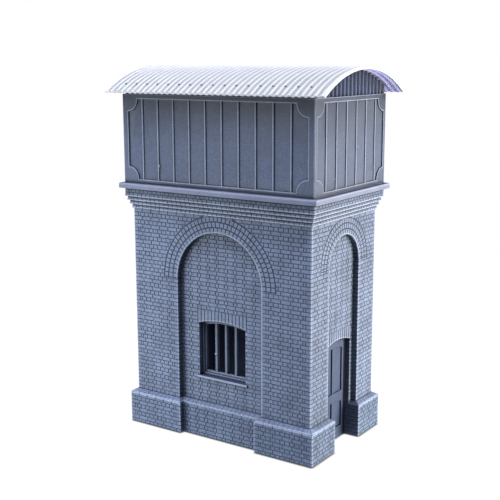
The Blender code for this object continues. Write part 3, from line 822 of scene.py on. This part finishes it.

# %% [markdown]
# ## Cornice
#
# Over the arches the brickwork steps out course by course to carry the slab. Each step shows a pale
# lip along its lower edge and a dark line under the next step. The lip is a bead on each header, with
# a paler finish that is a painted highlight. The top of a course is set back far enough to leave a
# groove, where the dark joint finish stands in for the shade under the step: a real groove, with
# painted shade. The lips of two sides meet at a corner, so those of the ends sit a little lower and
# stop a little short: faces in one plane would fight, and shade each other black.

# %% Cornice courses and their lips
CORBEL_COURSE = 1.1 * MM
CORBELS = (("corbel_1", 1), ("corbel_2", 1), ("corbel_3", 1), ("corbel_4", 2))
# How far the top of a course under a step is set back: a groove whose dark joint finish is painted shade.
STEP_SHADE = 0.34 * MM
LIP_OUT, LIP_HEIGHT, LIP_ROUND, LIP_PART = 0.11 * MM, 0.34 * MM, 0.12 * MM, 0.045 * MM
LIP_BELOW, LIP_GAP, LIP_SHORT = 0.02 * MM, 0.04 * MM, 0.03 * MM
# The lips' paler finish is a painted highlight.
LIP_HIGHLIGHT = resin("corbel_lip_painted_highlight", (0.290, 0.355, 0.480), 0.55)
corbel, lips = [], []
for number, (node_name, courses) in enumerate(CORBELS, start=1):
    out = high(node_name)[0] - HALF_LENGTH
    for row in range(courses):
        bottom = high(node_name)[2] - (courses - row) * CORBEL_COURSE
        for side, place in SIDES.items():
            edge = place["half"] + out
            joints = np.linspace(-edge, edge, round(2 * edge / HEADER) + 1)
            if (number + row) % 2 == 1:
                joints = pier_joints(-edge, edge, True)
            cells = course_cells(joints, bottom, bottom + CORBEL_COURSE)
            inset = insets(cells, -RAISE, -RAISE, bottom=LIP_HEIGHT + LIP_GAP if row == 0 else None,
                           top=STEP_SHADE if row == courses - 1 else None)
            lay_flat(corbel, side, cells, -out, inset)
            if row == 0:
                apart = LIP_BELOW if side in LONG_SIDES else 0.0
                starts, stops = joints[:-1] + LIP_PART, joints[1:] - LIP_PART
                starts[0], stops[-1] = -edge - LIP_OUT + LIP_SHORT, edge + LIP_OUT - LIP_SHORT
                lips += [bead(on_side(side, ends, -out, bottom), place["outward"], -UP, LIP_HEIGHT + apart,
                              (LIP_OUT, LIP_BELOW + apart), LIP_ROUND) for ends in zip(starts, stops)]
brick_piece("bricks_cornice", corbel)
add_piece("cornice_lips", lips, [LIP_HIGHLIGHT], smooth=50)

# %% [markdown]
# ## Cornice slab
#
# The slab on the cornice is a plain plate with a rounded nose, and the nose is its palest part. That
# paleness is light, so the nose gets a paler finish: a painted highlight. It could be a box with a
# bevel. Here it is a stack of level rectangles, each a little smaller or larger than the last, so that
# each strip between two of them can have its own finish.

# %% The slab
NOSE_LOW, NOSE_TOP, NOSE_BAND, NOSE_MARGIN = 0.12 * MM, 0.28 * MM, 0.22 * MM, 0.15 * MM
NOSE_STEPS = 4
SLAB = resin("cornice_slab_resin", (0.141, 0.176, 0.268), 0.50, spread=0.16)
# The nose's paler finish is a painted highlight.
SLAB_EDGE_HIGHLIGHT = resin("slab_edge_painted_highlight", (0.220, 0.262, 0.362), 0.50, spread=0.12)


def plan_ring(inset, z):
    """A level rectangle about the tower's axis, the slab's half sizes moved in by inset."""
    x, y = high("cornice_slab")[:2] - inset
    return np.array([(-x, -y, z), (x, -y, z), (x, y, z), (-x, y, z)])


turn = np.linspace(0, math.pi / 2, NOSE_STEPS + 1)
under = [plan_ring(NOSE_LOW * (1 - math.sin(t)), SLAB_LOW + NOSE_LOW * (1 - math.cos(t))) for t in turn]
over = [plan_ring(NOSE_TOP * (1 - math.cos(t)), SLAB_TOP - NOSE_TOP * (1 - math.sin(t))) for t in turn]
rings = [*under, plan_ring(0.0, SLAB_TOP - NOSE_TOP - NOSE_BAND), *over,
         plan_ring(NOSE_TOP + NOSE_MARGIN, SLAB_TOP)]
strips, *caps = capped(len(rings), 4)
is_highlight = np.arange(len(strips)) >= 4 * len(under)
add_piece("cornice_slab_nosing", [(np.concatenate(rings), [strips, *caps], [is_highlight, 0, 0])],
          [SLAB, SLAB_EDGE_HIGHLIGHT], smooth=40, instead_of=["cornice_slab"])

# %% [markdown]
# ## The iron tank
#
# The tank is plain plate with a raised border and upright ribs. Each corner of the sunk panel has a
# quarter circle of the border left standing in it. The solids have all of this with sharp edges. A
# print never has a sharp edge: a thin line of light runs along each one. So each side is made again
# with its edges rounded by a tenth of a millimetre, and the rounded faces get a paler finish, a
# painted highlight for that line of light.
#
# The panel's outline is a path, and its profile runs from the border over the rounded edge down to
# the sunk plate, like a plaster moulding that is run along a wall. Moving each edge of the path in by
# the same amount gives the next line of the moulding, so a profile is a list of pairs: how far in,
# and how deep. The corners mitre by themselves. The ribs are rounded bars.

# %% Carry a profile along a closed path
EDGE_STEPS = 3


def offset_loop(path, amount):
    """A closed polygon (n, 2), counter-clockwise, with each edge moved in by amount."""
    run = unit(np.roll(path, -1, axis=0) - path)
    after = np.stack([-run[:, 1], run[:, 0]], 1)
    return path + amount * mitre(np.roll(after, 1, axis=0), after)


def moulding(side, path, profile, back=True):
    """Points and faces of a profile, pairs of (in, depth), carried round a path on a side."""
    points = np.concatenate([at_depth(side, offset_loop(path, inner), depth) for inner, depth in profile])
    return points, grid_faces(len(profile), len(path), around=True, back=back)


def rectangle(half, bottom, top):
    """A rectangle, counter-clockwise from its lower left corner."""
    return np.array([(-half, bottom), (half, bottom), (half, top), (-half, top)])


def rounded(width, height, radius):
    """A bar's section, as (across, out): a rectangle on its middle with two rounded outer corners."""
    turn = np.linspace(0, math.pi / 2, EDGE_STEPS + 1)
    left = np.stack([radius - radius * np.cos(turn) - width / 2, height - radius + radius * np.sin(turn)], 1)
    right = left[::-1] * (-1, 1)
    return np.concatenate([[(-width / 2, 0.0)], left, right, [(width / 2, 0.0)]])


def upright_bar(side, middle, section, root, bottom, top):
    """Points of a bar's section, out from a root depth, at its two ends."""
    s, depth = middle + section[:, 0], root - section[:, 1]
    return np.concatenate([on_side(side, s, depth, z) for z in (bottom, top)])


print("a square moved in by one:", offset_loop(rectangle(3.0, 0.0, 6.0), 1.0).tolist())

# %% Outline of the sunk panel
TANK_WALL, SEAM = 1.6 * MM, 0.05 * MM
BORDER, BORDER_FOOT, BORDER_HEAD = 0.36 * MM, 1.2 * MM, 1.35 * MM
RIB_OUT, RIB_WIDTH, RIB_ROOT = 0.24 * MM, 0.50 * MM, 0.1 * MM
CORNER_RADIUS, CORNER_STEPS = 3.3 * MM, 10
EDGE, STRIP = 0.12 * MM, 0.14 * MM
FOOT_EDGE = 0.7 * EDGE
SHELL_ROUND = ((-0.3 * EDGE, 0.08 * EDGE), (-0.5 * EDGE, 0.5 * EDGE))
LONG_RIBS, END_RIBS = (10, 5.14 * MM, 1.88 * MM), (6, 5.09 * MM, 1.22 * MM)
TANK = resin("tank_side_resin", (0.059, 0.088, 0.150), 0.50, spread=0.26, speckle=0.8, corners=2.0,
             crevices=1.2, eave=0.62)
# The rounded edges' paler finish is a painted highlight.
TANK_EDGE_HIGHLIGHT = resin("tank_edge_painted_highlight", (0.190, 0.238, 0.335), 0.50, spread=0.2)


def tank_depth(side):
    """How deep the tank's face lies on a side. It is below zero, as the tank stands out."""
    return SIDES[side]["face"] - SIDES[side]["tank_face"]


def panel_path(half, bottom, top):
    """A rectangle with a quarter circle bitten out of each corner, counter-clockwise."""
    points = []
    for s, z, start in ((half, bottom, 2), (half, top, 3), (-half, top, 4), (-half, bottom, 5)):
        angle = (start - np.arange(CORNER_STEPS + 1) / CORNER_STEPS) * math.pi / 2
        points.append(np.stack([s + CORNER_RADIUS * np.cos(angle), z + CORNER_RADIUS * np.sin(angle)], 1))
    return np.concatenate(points)


def tank_face_parts(side, border, outline):
    """The flat border between the panel's path and the plate's outline: a fan and a quad a corner."""
    quarter, parts = len(border) // 4, []
    for k in range(4):
        block, corner = border[k * quarter:(k + 1) * quarter], outline[(k + 1) % 4]
        fan = np.arange(quarter - 1)
        triangles = np.stack([np.full_like(fan, quarter), fan + 1, fan], 1)
        parts.append((np.concatenate([block, [corner]]), triangles))
        following = border[(k + 1) * quarter % len(border)]
        quad = np.array([block[-1], following, outline[(k + 2) % 4], corner])
        parts.append((quad, np.array([[0, 3, 2, 1]])))
    return [(at_depth(side, plan, tank_depth(side)), faces) for plan, faces in parts]


print(f"the tank stands {-1000 * tank_depth('front'):.2f} mm out in front and has {LONG_RIBS[0]} ribs there")


# %% Tank sides
def tank_side(side):
    """One side of the tank as a closed plate: border, rounded edge, sunk panel, ribs and back."""
    face, half = tank_depth(side), SIDES[side]["tank_half"]
    count, pitch, side_border = LONG_RIBS if side in LONG_SIDES else END_RIBS
    bottom = SLAB_TOP + SEAM
    panel_low, panel_high = SLAB_TOP + BORDER_FOOT, TANK_TOP - BORDER_HEAD
    path = panel_path(half - side_border, panel_low, panel_high)
    turn = np.linspace(0, math.pi / 2, EDGE_STEPS + 1)
    over = [(-EDGE - STRIP, face)]
    over += [(EDGE * (math.sin(t) - 1), face + EDGE * (1 - math.cos(t))) for t in turn]
    foot = [(FOOT_EDGE * (1 - math.cos(t)), face + BORDER - FOOT_EDGE * (1 - math.sin(t))) for t in turn]
    points, faces = moulding(side, path, over + foot, back=False)
    panel = np.arange(len(points) - len(path), len(points))[None]
    is_edge = np.arange(len(faces)) < (len(over) - 1) * len(path)
    parts = [(points, [faces, panel], [is_edge, 0])]

    outline = rectangle(half - SEAM - EDGE, bottom, TANK_TOP - EDGE)
    parts += tank_face_parts(side, offset_loop(path, -EDGE - STRIP), offset_loop(outline, STRIP))

    shell = [(inner, face + deep) for inner, deep in ((STRIP, 0.0), (0.0, 0.0), *SHELL_ROUND)]
    points, _ = moulding(side, outline, shell)
    rear = at_depth(side, rectangle(half - SEAM - TANK_WALL, bottom, TANK_TOP), face + TANK_WALL)
    strips, _, back = capped(len(shell) + 1, 4)
    is_edge = np.arange(len(strips)) < 4 * (len(shell) - 1)
    parts.append((np.concatenate([points, rear]), [strips[:, ::-1], back], [is_edge, 0]))

    section = rounded(RIB_WIDTH, RIB_OUT + RIB_ROOT, EDGE)
    strips = grid_faces(2, len(section))
    is_edge = np.isin(np.arange(len(strips)), (0, len(strips) - 1), invert=True)
    for middle in (np.arange(count) - (count - 1) / 2) * pitch:
        points = upright_bar(side, middle, section, face + BORDER + RIB_ROOT,
                             panel_low - EDGE, panel_high + EDGE)
        parts.append((points, [strips], [is_edge]))
    return parts


for side in SIDES:
    add_piece(f"tank_{side}_plate", tank_side(side), [TANK, TANK_EDGE_HIGHLIGHT], smooth=35,
              instead_of=[f"tank_{side}"])

# %% [markdown]
# ## Roof sheet
#
# The roof is one sheet of corrugated iron, rolled to an arc. In numbers it is a wave carried along
# the tower, whose height is measured from the arc's centre: radius minus half the wave's depth times
# one plus the cosine along the tower. The sheet is thin, so light comes through it: its top glows a
# little, which the shader's subsurface does, and its underside looks lilac. That light is also painted:
# the top and the cut edge get a much paler copy of the resin, a painted highlight, and the underside a
# lilac one, a painted glow for the light that comes through. The underside's wave is shallower than
# the top's, as on the print, so the cut edge is thick at a crest and thin in a valley.

# %% Roof sheet
ROOF_RADIUS = 37.74 * MM
ROOF_AXIS = cad_box[1][2] - ROOF_RADIUS
ROOF_HALF_LENGTH, ROOF_HALF_WIDTH = high("roof_sheet")[:2]
WAVE_PITCH, WAVE_DEPTH, SHEET_THICKNESS = 1.79 * MM, 0.42 * MM, 0.3 * MM
UNDER_SHARE = 0.6
ROOF_STATIONS, ROOF_STEPS = 457, 44
# The top and the cut edge get much paler copies of the resin, painted light; the underside a lilac one, a
# painted glow.
ROOF_SHEET_LIT = resin("roof_sheet_painted_light", (0.65, 0.68, 0.66), 0.48, spread=0.05, corners=0.7, crevices=3.7)
feed(ROOF_SHEET_LIT.node_tree.nodes["Principled BSDF"],
     {"Subsurface Weight": 1.0, "Subsurface Radius": (1.0, 1.0, 1.0), "Subsurface Scale": 0.12 * MM})
ROOF_RIM_LIT = resin("roof_rim_painted_light", (0.63, 0.64, 0.68), 0.48, spread=0.05, corners=0.3)
UNDERSIDE_GLOW = resin("roof_underside_painted_glow", (0.40, 0.42, 0.76), 0.48, spread=0.05, corners=0.0)


def roof_radius(x):
    """Outer radius at x: the arc's radius less a cosine wave whose valleys are at multiples of the pitch."""
    return ROOF_RADIUS - WAVE_DEPTH * (0.5 + 0.5 * np.cos(2 * math.pi * x / WAVE_PITCH))


def roof_point(x, angle, below, share=1.0):
    """A point at x, at an angle from the crown, below the outer surface. share is how much wave is left."""
    radius = share * roof_radius(x) + (1 - share) * (ROOF_RADIUS - WAVE_DEPTH) - below
    points = np.broadcast_arrays(x, radius * np.sin(angle), ROOF_AXIS + radius * np.cos(angle))
    return np.stack(points, -1).reshape(-1, 3)


x = np.linspace(-ROOF_HALF_LENGTH, ROOF_HALF_LENGTH, ROOF_STATIONS)[:, None]
swing = math.asin(ROOF_HALF_WIDTH / ROOF_RADIUS)
angle = np.linspace(-swing, swing, ROOF_STEPS)[None]
outer, inner = roof_point(x, angle, 0.0), roof_point(x, angle, SHEET_THICKNESS, UNDER_SHARE)
grid = np.arange(ROOF_STATIONS * ROOF_STEPS).reshape(ROOF_STATIONS, ROOF_STEPS)
rim = np.concatenate([grid[0, :-1], grid[:-1, -1], grid[-1, :0:-1], grid[:0:-1, 0]])
next_rim = np.roll(rim, -1)
edge_faces = np.stack([next_rim + grid.size, rim + grid.size, rim, next_rim], 1)
top_faces = grid_faces(ROOF_STATIONS, ROOF_STEPS)
faces = [top_faces[:, ::-1], top_faces + grid.size, edge_faces]
add_piece("roof_corrugated_sheet", [(np.concatenate([outer, inner]), faces, [0, 1, 2])],
          [ROOF_SHEET_LIT, UNDERSIDE_GLOW, ROOF_RIM_LIT], smooth=40, instead_of=["roof_sheet"])

# %% [markdown]
# ## Roof bolts and gables
#
# A row of bolts along each eave holds the sheet down, one in every second wave. Seen from the
# photograph they are dark dots, so a bolt is a low domed stub of ten sides, turned to stand square
# on the arc, and it takes the dark joint finish: painted shade for those dots. Under the roof's ends
# upright corrugated sheet closes the gap over the tank. It lies in the shade of the roof's overhang,
# so it gets a darker copy of the resin, painted shade. Its top has to follow the underside of the
# roof, so its height is worked out from the roof's own formula.

# %% Roof bolts
BOLT_RADIUS, BOLT_SIDES, BOLTS_EACH_WAY = 0.19 * MM, 10, 8
BOLT_Y = 17.7 * MM
BOLT_OFFSET = -0.25 * WAVE_PITCH
BOLT_LEVELS = ((1.0, -0.5 * MM), (1.0, -0.14 * MM), (0.7, -0.06 * MM))
bolt_turn = np.linspace(0, 2 * math.pi, BOLT_SIDES, endpoint=False)[:, None]
tube, _, cap = capped(len(BOLT_LEVELS), BOLT_SIDES)
bolts = []
for lean in math.asin(BOLT_Y / ROOF_RADIUS) * np.array([-1, 1]):
    normal = np.array([0.0, math.sin(lean), math.cos(lean)])
    across = np.array([0.0, math.cos(lean), -math.sin(lean)])
    circle = BOLT_RADIUS * (np.cos(bolt_turn) * np.array([1.0, 0.0, 0.0]) + np.sin(bolt_turn) * across)
    for k in range(-BOLTS_EACH_WAY, BOLTS_EACH_WAY + 1):
        base = np.array([2 * k * WAVE_PITCH + BOLT_OFFSET, 0.0, ROOF_AXIS]) + ROOF_RADIUS * normal
        rows = [base + share * circle + height * normal for share, height in BOLT_LEVELS]
        bolts.append((np.concatenate(rows), [tube, cap]))
# The bolts take the dark joint finish: painted shade for their dark dots.
add_piece("roof_bolts", bolts, [MORTAR], smooth=50)

# %% Gables
GABLE_WAVES, GABLE_DEPTH, GABLE_WALL, GABLE_GAP = 19, 0.7 * MM, 1.0 * MM, 0.02 * MM
GABLE_HALF, GABLE_FACE = TANK_HALF_DEPTH - SEAM, TANK_HALF_LENGTH - 0.1 * MM
GABLE_STATIONS = GABLE_WAVES * 12 + 1
# The gable's darker copy of the resin: painted shade under the roof's overhang.
GABLE_SHADED = resin("gable_sheet_painted_shade", (0.056, 0.094, 0.205), 0.55, spread=0.25, crevices=1.0)


def gable(way):
    """Upright infill from the tank to the roof: a row of cosine waves across the tower."""
    y = np.linspace(-GABLE_HALF, GABLE_HALF, GABLE_STATIONS)
    outer = GABLE_FACE - GABLE_DEPTH * (0.5 - 0.5 * np.cos(math.pi * y * GABLE_WAVES / GABLE_HALF))
    inner = np.full_like(y, GABLE_FACE - GABLE_WALL)

    def under_roof(x):
        """Height of the sheet's underside: the axis plus the root of radius squared minus y squared."""
        return ROOF_AXIS + np.sqrt((roof_radius(x) - SHEET_THICKNESS - GABLE_GAP) ** 2 - y ** 2)

    levels = ((inner, TANK_TOP), (outer, TANK_TOP),
              (outer, under_roof(GABLE_FACE)), (inner, under_roof(inner)))
    rows = [np.stack([way * x, y, np.broadcast_to(z, y.shape)], 1) for x, z in levels]
    ends = np.arange(4) * GABLE_STATIONS
    caps = np.array([ends, ends[::-1] + GABLE_STATIONS - 1])
    faces = np.concatenate([grid_faces(4, GABLE_STATIONS, back=True), caps])
    return np.concatenate(rows), faces[:, ::way]


for name, way in (("left", -1), ("right", 1)):
    add_piece(f"gable_{name}_sheet", [gable(way)], [GABLE_SHADED], smooth=40,
              instead_of=[f"gable_{name}"])

# %% [markdown]
# ## Window and door
#
# The windows have no glass: a stepped frame holds three upright bars. The frame is a profile of two
# steps, carried round the opening, and the three arrises that stand out get a paler finish, a painted
# highlight. The bars are rounded bars that stand in the second step. The sill is a profile too,
# carried along a straight line.
#
# The door's solids have all that shows of it: frame, leaf and four sunk panels. They keep their own
# meshes and get a finish. In the photograph the door is darker than its depth explains, so that
# finish is a darker copy of the resin than the windows', painted shade, and the sills share it. The
# front of a sill gets the slab's paler nose finish, a painted highlight.

# %% Window frames and bars
FRAME_STEP, FRAME_DEPTH, FRAME_SOFT, SECOND_STEP = 0.55 * MM, 1.2 * MM, 0.08 * MM, 0.4 * MM
HIGHLIGHT_ROWS = (1, 3, 7)
BARS = (-3.2 * MM, 0.0, 3.2 * MM)
BAR_WIDTH, BAR_DEPTH, BAR_ROUND, BAR_BACK = 0.75 * MM, 0.95 * MM, 0.1 * MM, 0.5 * MM
SILL_GAP = 0.02 * MM
WINDOW_FRONT = RECESS + WINDOW["set_back"]
JOINERY = resin("joinery_resin", (0.104, 0.144, 0.216), 0.55, spread=0.16, crevices=1.0)
# The frame's standing arrises get this paler finish, a painted highlight.
JOINERY_EDGE_HIGHLIGHT = resin("joinery_edge_painted_highlight", (0.2392, 0.3312, 0.4968), 0.55, spread=0.16)

fit = dict(WINDOW, half=WINDOW["half"] - SEAM, spring=WINDOW["spring"] - SEAM)
foot = WINDOW["bottom"] + SILL_GAP
frame_path = np.concatenate([[(-fit["half"], foot), (fit["half"], foot)], head_path(fit)[::-1]])
frame_profile = [(0.0, FRAME_DEPTH), (0.0, FRAME_SOFT), (FRAME_SOFT, 0.0), (FRAME_STEP - FRAME_SOFT, 0.0),
                 (FRAME_STEP, FRAME_SOFT), (FRAME_STEP, SECOND_STEP), (FRAME_STEP + FRAME_SOFT, SECOND_STEP),
                 (2 * FRAME_STEP - FRAME_SOFT, SECOND_STEP), (2 * FRAME_STEP, SECOND_STEP + FRAME_SOFT),
                 (2 * FRAME_STEP, FRAME_DEPTH)]
bar_section = rounded(BAR_WIDTH, BAR_DEPTH, BAR_ROUND)
for side in LONG_SIDES:
    profile = [(inner, WINDOW_FRONT + deep) for inner, deep in frame_profile]
    points, faces = moulding(side, frame_path, profile)
    is_highlight = np.isin(np.arange(len(faces)) // len(frame_path), HIGHLIGHT_ROWS)
    parts = [(points, [faces], [is_highlight])]
    for middle in BARS:
        points = upright_bar(side, middle, bar_section, WINDOW_FRONT + BAR_BACK + BAR_DEPTH,
                             WINDOW["bottom"] + FRAME_STEP, head_height(fit, middle) - FRAME_STEP)
        parts.append((points, capped(2, len(bar_section))))
    add_piece(f"window_{side}_bars", parts, [JOINERY, JOINERY_EDGE_HIGHLIGHT], smooth=35,
              instead_of=[f"window_frame_{side}"])

# %% Window sills
SILL_SOFT = 0.14 * MM
SILL_CUT = 0.3 * SILL_SOFT
# The door and the sills' bodies get a darker copy of the resin: painted shade.
DOOR_SHADED = resin("door_painted_shade", (0.030, 0.058, 0.128), 0.60, spread=0.16, crevices=1.0)
for side in LONG_SIDES:
    node_name = f"window_sill_{side}"
    half = high(node_name)[0]
    z_low, z_top = low(node_name)[2], high(node_name)[2]
    out, rear = sorted(SIDES[side]["face"] - abs(corner(node_name)[1]) for corner in (low, high))
    section = np.array([(rear, z_low), (out + SILL_SOFT, z_low), (out + SILL_CUT, z_low + SILL_CUT),
                        (out, z_low + SILL_SOFT), (out, z_top - SILL_SOFT),
                        (out + SILL_CUT, z_top - SILL_CUT), (out + SILL_SOFT, z_top), (rear, z_top)])
    ends = [on_side(side, s, section[:, 0], section[:, 1]) for s in (-half, half)]
    # The sill's front gets the paler nose finish, a painted highlight.
    is_highlight = np.isin(np.arange(len(section)), (3, 4, 5))
    add_piece(f"window_{side}_sill", [(np.concatenate(ends), capped(2, len(section)), [is_highlight, 0, 0])],
              [DOOR_SHADED, SLAB_EDGE_HIGHLIGHT], smooth=50, instead_of=[node_name])

# %% [markdown]
# ## The solids that stay
#
# Where bricks are laid over a solid, only the joints between them still show it. In the photograph
# the joints of the arches are the darkest and those of the recessed walls the palest. The door and
# the plates under the roof show whole. All keep their own meshes, so only their finish is left.

# %% Finish the solids
SOLID_FINISHES = (("arch", ARCH_JOINT), ("wall_plate", TANK), ("wall", RECESS_JOINT), ("door", DOOR_SHADED),
                  ("", MORTAR))
for name, solid in nodes.items():
    solid.data.materials.clear()
    finish = next(finish for start, finish in SOLID_FINISHES if name.startswith(start))
    solid.data.materials.append(finish)
print(len(nodes), "solids have a finish")

# %% [markdown]
# ## Nibs of the print
#
# A resin print has small grains where a support or a stray drop was cured to it. The photograph
# shows one on a window bar, one under the sill and four on the tank. They belong to this print, so
# they stay. A grain could be an icosphere, pushed about. Here it is a ball of rings with a half size
# of its own along each direction, placed on the surface that it grew on. The grains look bright, so
# their finish is a paler copy of the resin with no corner shade: a painted highlight.

# %% Nibs of the print
# The grains' paler finish, with no corner shade, is a painted highlight.
NIB_HIGHLIGHT = resin("print_nib_painted_highlight", (0.300, 0.360, 0.470), 0.55, corners=0.0)
RIB_FACE, END_PANEL = tank_depth("front") + BORDER - RIB_OUT, tank_depth("right") + BORDER
NIBS = (("front", (-3.26 * MM, WINDOW_FRONT + BAR_BACK, 23.08 * MM), (0.42, 0.25, 0.30)),
        ("front", (-2.78 * MM, 1.10 * MM, 16.40 * MM), (0.20, 0.20, 0.55)),
        ("front", (-17.63 * MM, RIB_FACE, 73.57 * MM), (0.24, 0.14, 0.30)),
        ("right", (-7.30 * MM, END_PANEL, 81.39 * MM), (0.17, 0.13, 0.20)),
        ("right", (3.76 * MM, END_PANEL, 79.23 * MM), (0.17, 0.13, 0.20)),
        ("right", (-8.18 * MM, END_PANEL, 72.26 * MM), (0.14, 0.12, 0.18)))
NIB_ROWS, NIB_SIDES, NIB_POLE = 7, 10, 0.02


def nib(side, place, half_sizes):
    """A grain at (s, d, z) of a side: the cosines and sines of two angles times half sizes, in mm."""
    up = np.linspace(NIB_POLE - math.pi / 2, math.pi / 2 - NIB_POLE, NIB_ROWS)[:, None]
    around = np.arange(NIB_SIDES) * 2 * math.pi / NIB_SIDES
    ball = np.stack([np.cos(up) * np.cos(around), np.cos(up) * np.sin(around), np.sin(up) + 0 * around], -1)
    s, d, z = (np.array(place) + ball.reshape(-1, 3) * np.array(half_sizes) * MM).T
    return on_side(side, s, d, z), capped(NIB_ROWS, NIB_SIDES)


add_piece("print_nibs", [nib(*grain) for grain in NIBS], [NIB_HIGHLIGHT], smooth=60)

# %% [markdown]
# ## Floor
#
# The photograph is a product shot on white paper that is lit so strongly that it has no tone left. A
# lit white plane would turn grey between the lights, so the floor glows by itself instead, and isn't
# seen by the light that falls on the tower. The only shade on it is the thin dark line where the
# plinth stands, which Ambient Occlusion with a short reach gives.

# %% Floor
FLOOR_HALF = 6.0
CONTACT_REACH, CONTACT_POWER = 0.7 * MM, 1.4
floor_mesh = bpy.data.meshes.new("floor")
floor_mesh.from_pydata([(FLOOR_HALF * x, FLOOR_HALF * y, 0) for x, y in ((-1, -1), (1, -1), (1, 1), (-1, 1))],
                       [], [(0, 1, 2, 3)])
floor = bpy.data.objects.new("floor", floor_mesh)
bpy.context.scene.collection.objects.link(floor)
paper = bpy.data.materials.new("floor_paper")
paper.use_nodes = True
near = node(paper.node_tree, "AmbientOcclusion", "AO", {"Distance": CONTACT_REACH})
contact = node(paper.node_tree, "Math", "Value", {0: near, 1: CONTACT_POWER}, operation="POWER")
feed(paper.node_tree.nodes["Principled BSDF"],
     {"Base Color": (0.03, 0.03, 0.03, 1.0), "Roughness": 1.0, "Specular IOR Level": 0.0,
      "Emission Color": contact, "Emission Strength": 1.0})
floor_mesh.materials.append(paper)
floor.visible_diffuse = False
floor.visible_glossy = False
floor.visible_shadow = False
print(f"floor of {2 * FLOOR_HALF:.0f} m")

# %% [markdown]
# ## Light
#
# The light is soft and comes from the left of the front, from behind on the right and from above,
# and little comes from where the camera stands, so the returns that face the camera's side of the
# room stay dark. Five area lights give this, two of them low beside the tower, and a sixth lies under
# the floor for the light that white paper throws back up. The room itself is white to the camera and
# black to the tower.

# %% Lights
TOWER_FOOT, TOWER_WAIST, ZENITH = (0.0, 0.0, 0.02), (0.0, 0.0, 0.05), (0.0, 0.0, 1.0)


def soft_light(name, place, target, size, power, colour):
    """A square area light at a place, aimed at a target, in metres and watts."""
    data = bpy.data.lights.new(name, "AREA")
    data.size, data.energy, data.color = size, power, colour
    light = bpy.data.objects.new(name, data)
    light.rotation_mode = "QUATERNION"
    light.rotation_quaternion = (Vector(target) - Vector(place)).to_track_quat("-Z", "Y")
    light.location = place
    bpy.context.scene.collection.objects.link(light)


soft_light("light_key_high_left", (-0.15, -0.15, 0.55), TOWER_WAIST, 0.30, 3.37, (0.85, 0.86, 1.00))
soft_light("light_key_high_front", (0.05, -0.25, 0.55), TOWER_WAIST, 0.30, 1.87, (0.80, 0.80, 1.00))
soft_light("light_low_front_left", (-0.11, -0.11, 0.01), TOWER_FOOT, 0.07, 0.211, (0.97, 0.98, 1.00))
soft_light("light_low_right", (0.14, 0.05, 0.03), TOWER_FOOT, 0.09, 0.392, (1.00, 0.92, 0.79))
soft_light("light_high_back_right", (0.40, 0.25, 0.30), TOWER_WAIST, 0.20, 2.26, (0.91, 0.86, 1.00))
soft_light("glow_of_the_floor", (0.0, 0.0, -0.001), ZENITH, 1.0, 1.28, (0.94, 0.96, 1.00))
world = bpy.data.worlds.new("room")
bpy.context.scene.world = world
world.use_nodes = True
camera_ray = node(world.node_tree, "LightPath", "Is Camera Ray")
feed(world.node_tree.nodes["Background"], {"Color": (1.0, 1.0, 1.0, 1.0), "Strength": camera_ray})

# %% [markdown]
# ## Camera
#
# The camera is the one that the edges of the building in the photograph fit best: where it stands,
# how it is turned, and its focal length, which the fit gives in pixels of the photograph.

# %% Camera
AZIMUTH, ELEVATION, ROLL = np.radians([34.18, 11.39, -0.17])
CAMERA_PLACE = (0.144448, -0.214549, 0.101949)
FOCAL_PIXELS, PHOTO_WIDTH, SENSOR = 962.41, 500, 36.0
back = np.array([math.sin(AZIMUTH) * math.cos(ELEVATION), -math.cos(AZIMUTH) * math.cos(ELEVATION),
                 math.sin(ELEVATION)])
right = np.array([math.cos(AZIMUTH), math.sin(AZIMUTH), 0.0])
up = np.cross(back, right)
right, up = math.cos(ROLL) * right + math.sin(ROLL) * up, math.cos(ROLL) * up - math.sin(ROLL) * right
camera_data = bpy.data.cameras.new("camera")
camera_data.sensor_width = SENSOR
camera_data.lens = FOCAL_PIXELS / PHOTO_WIDTH * SENSOR
camera_data.clip_start, camera_data.clip_end = 0.01, 20.0
camera = bpy.data.objects.new("camera", camera_data)
matrix = np.eye(4)
matrix[:3] = np.stack([right, up, back, CAMERA_PLACE], 1)
camera.matrix_world = Matrix(matrix.tolist())
bpy.context.scene.collection.objects.link(camera)
bpy.context.scene.camera = camera
bpy.context.scene.view_settings.view_transform = "Standard"
print(f"lens {camera_data.lens:.1f} mm")

# %% Print the size of the solids
print("CAD box", [list(np.round(1000 * np.array(c), 2)) for c in cad_box])
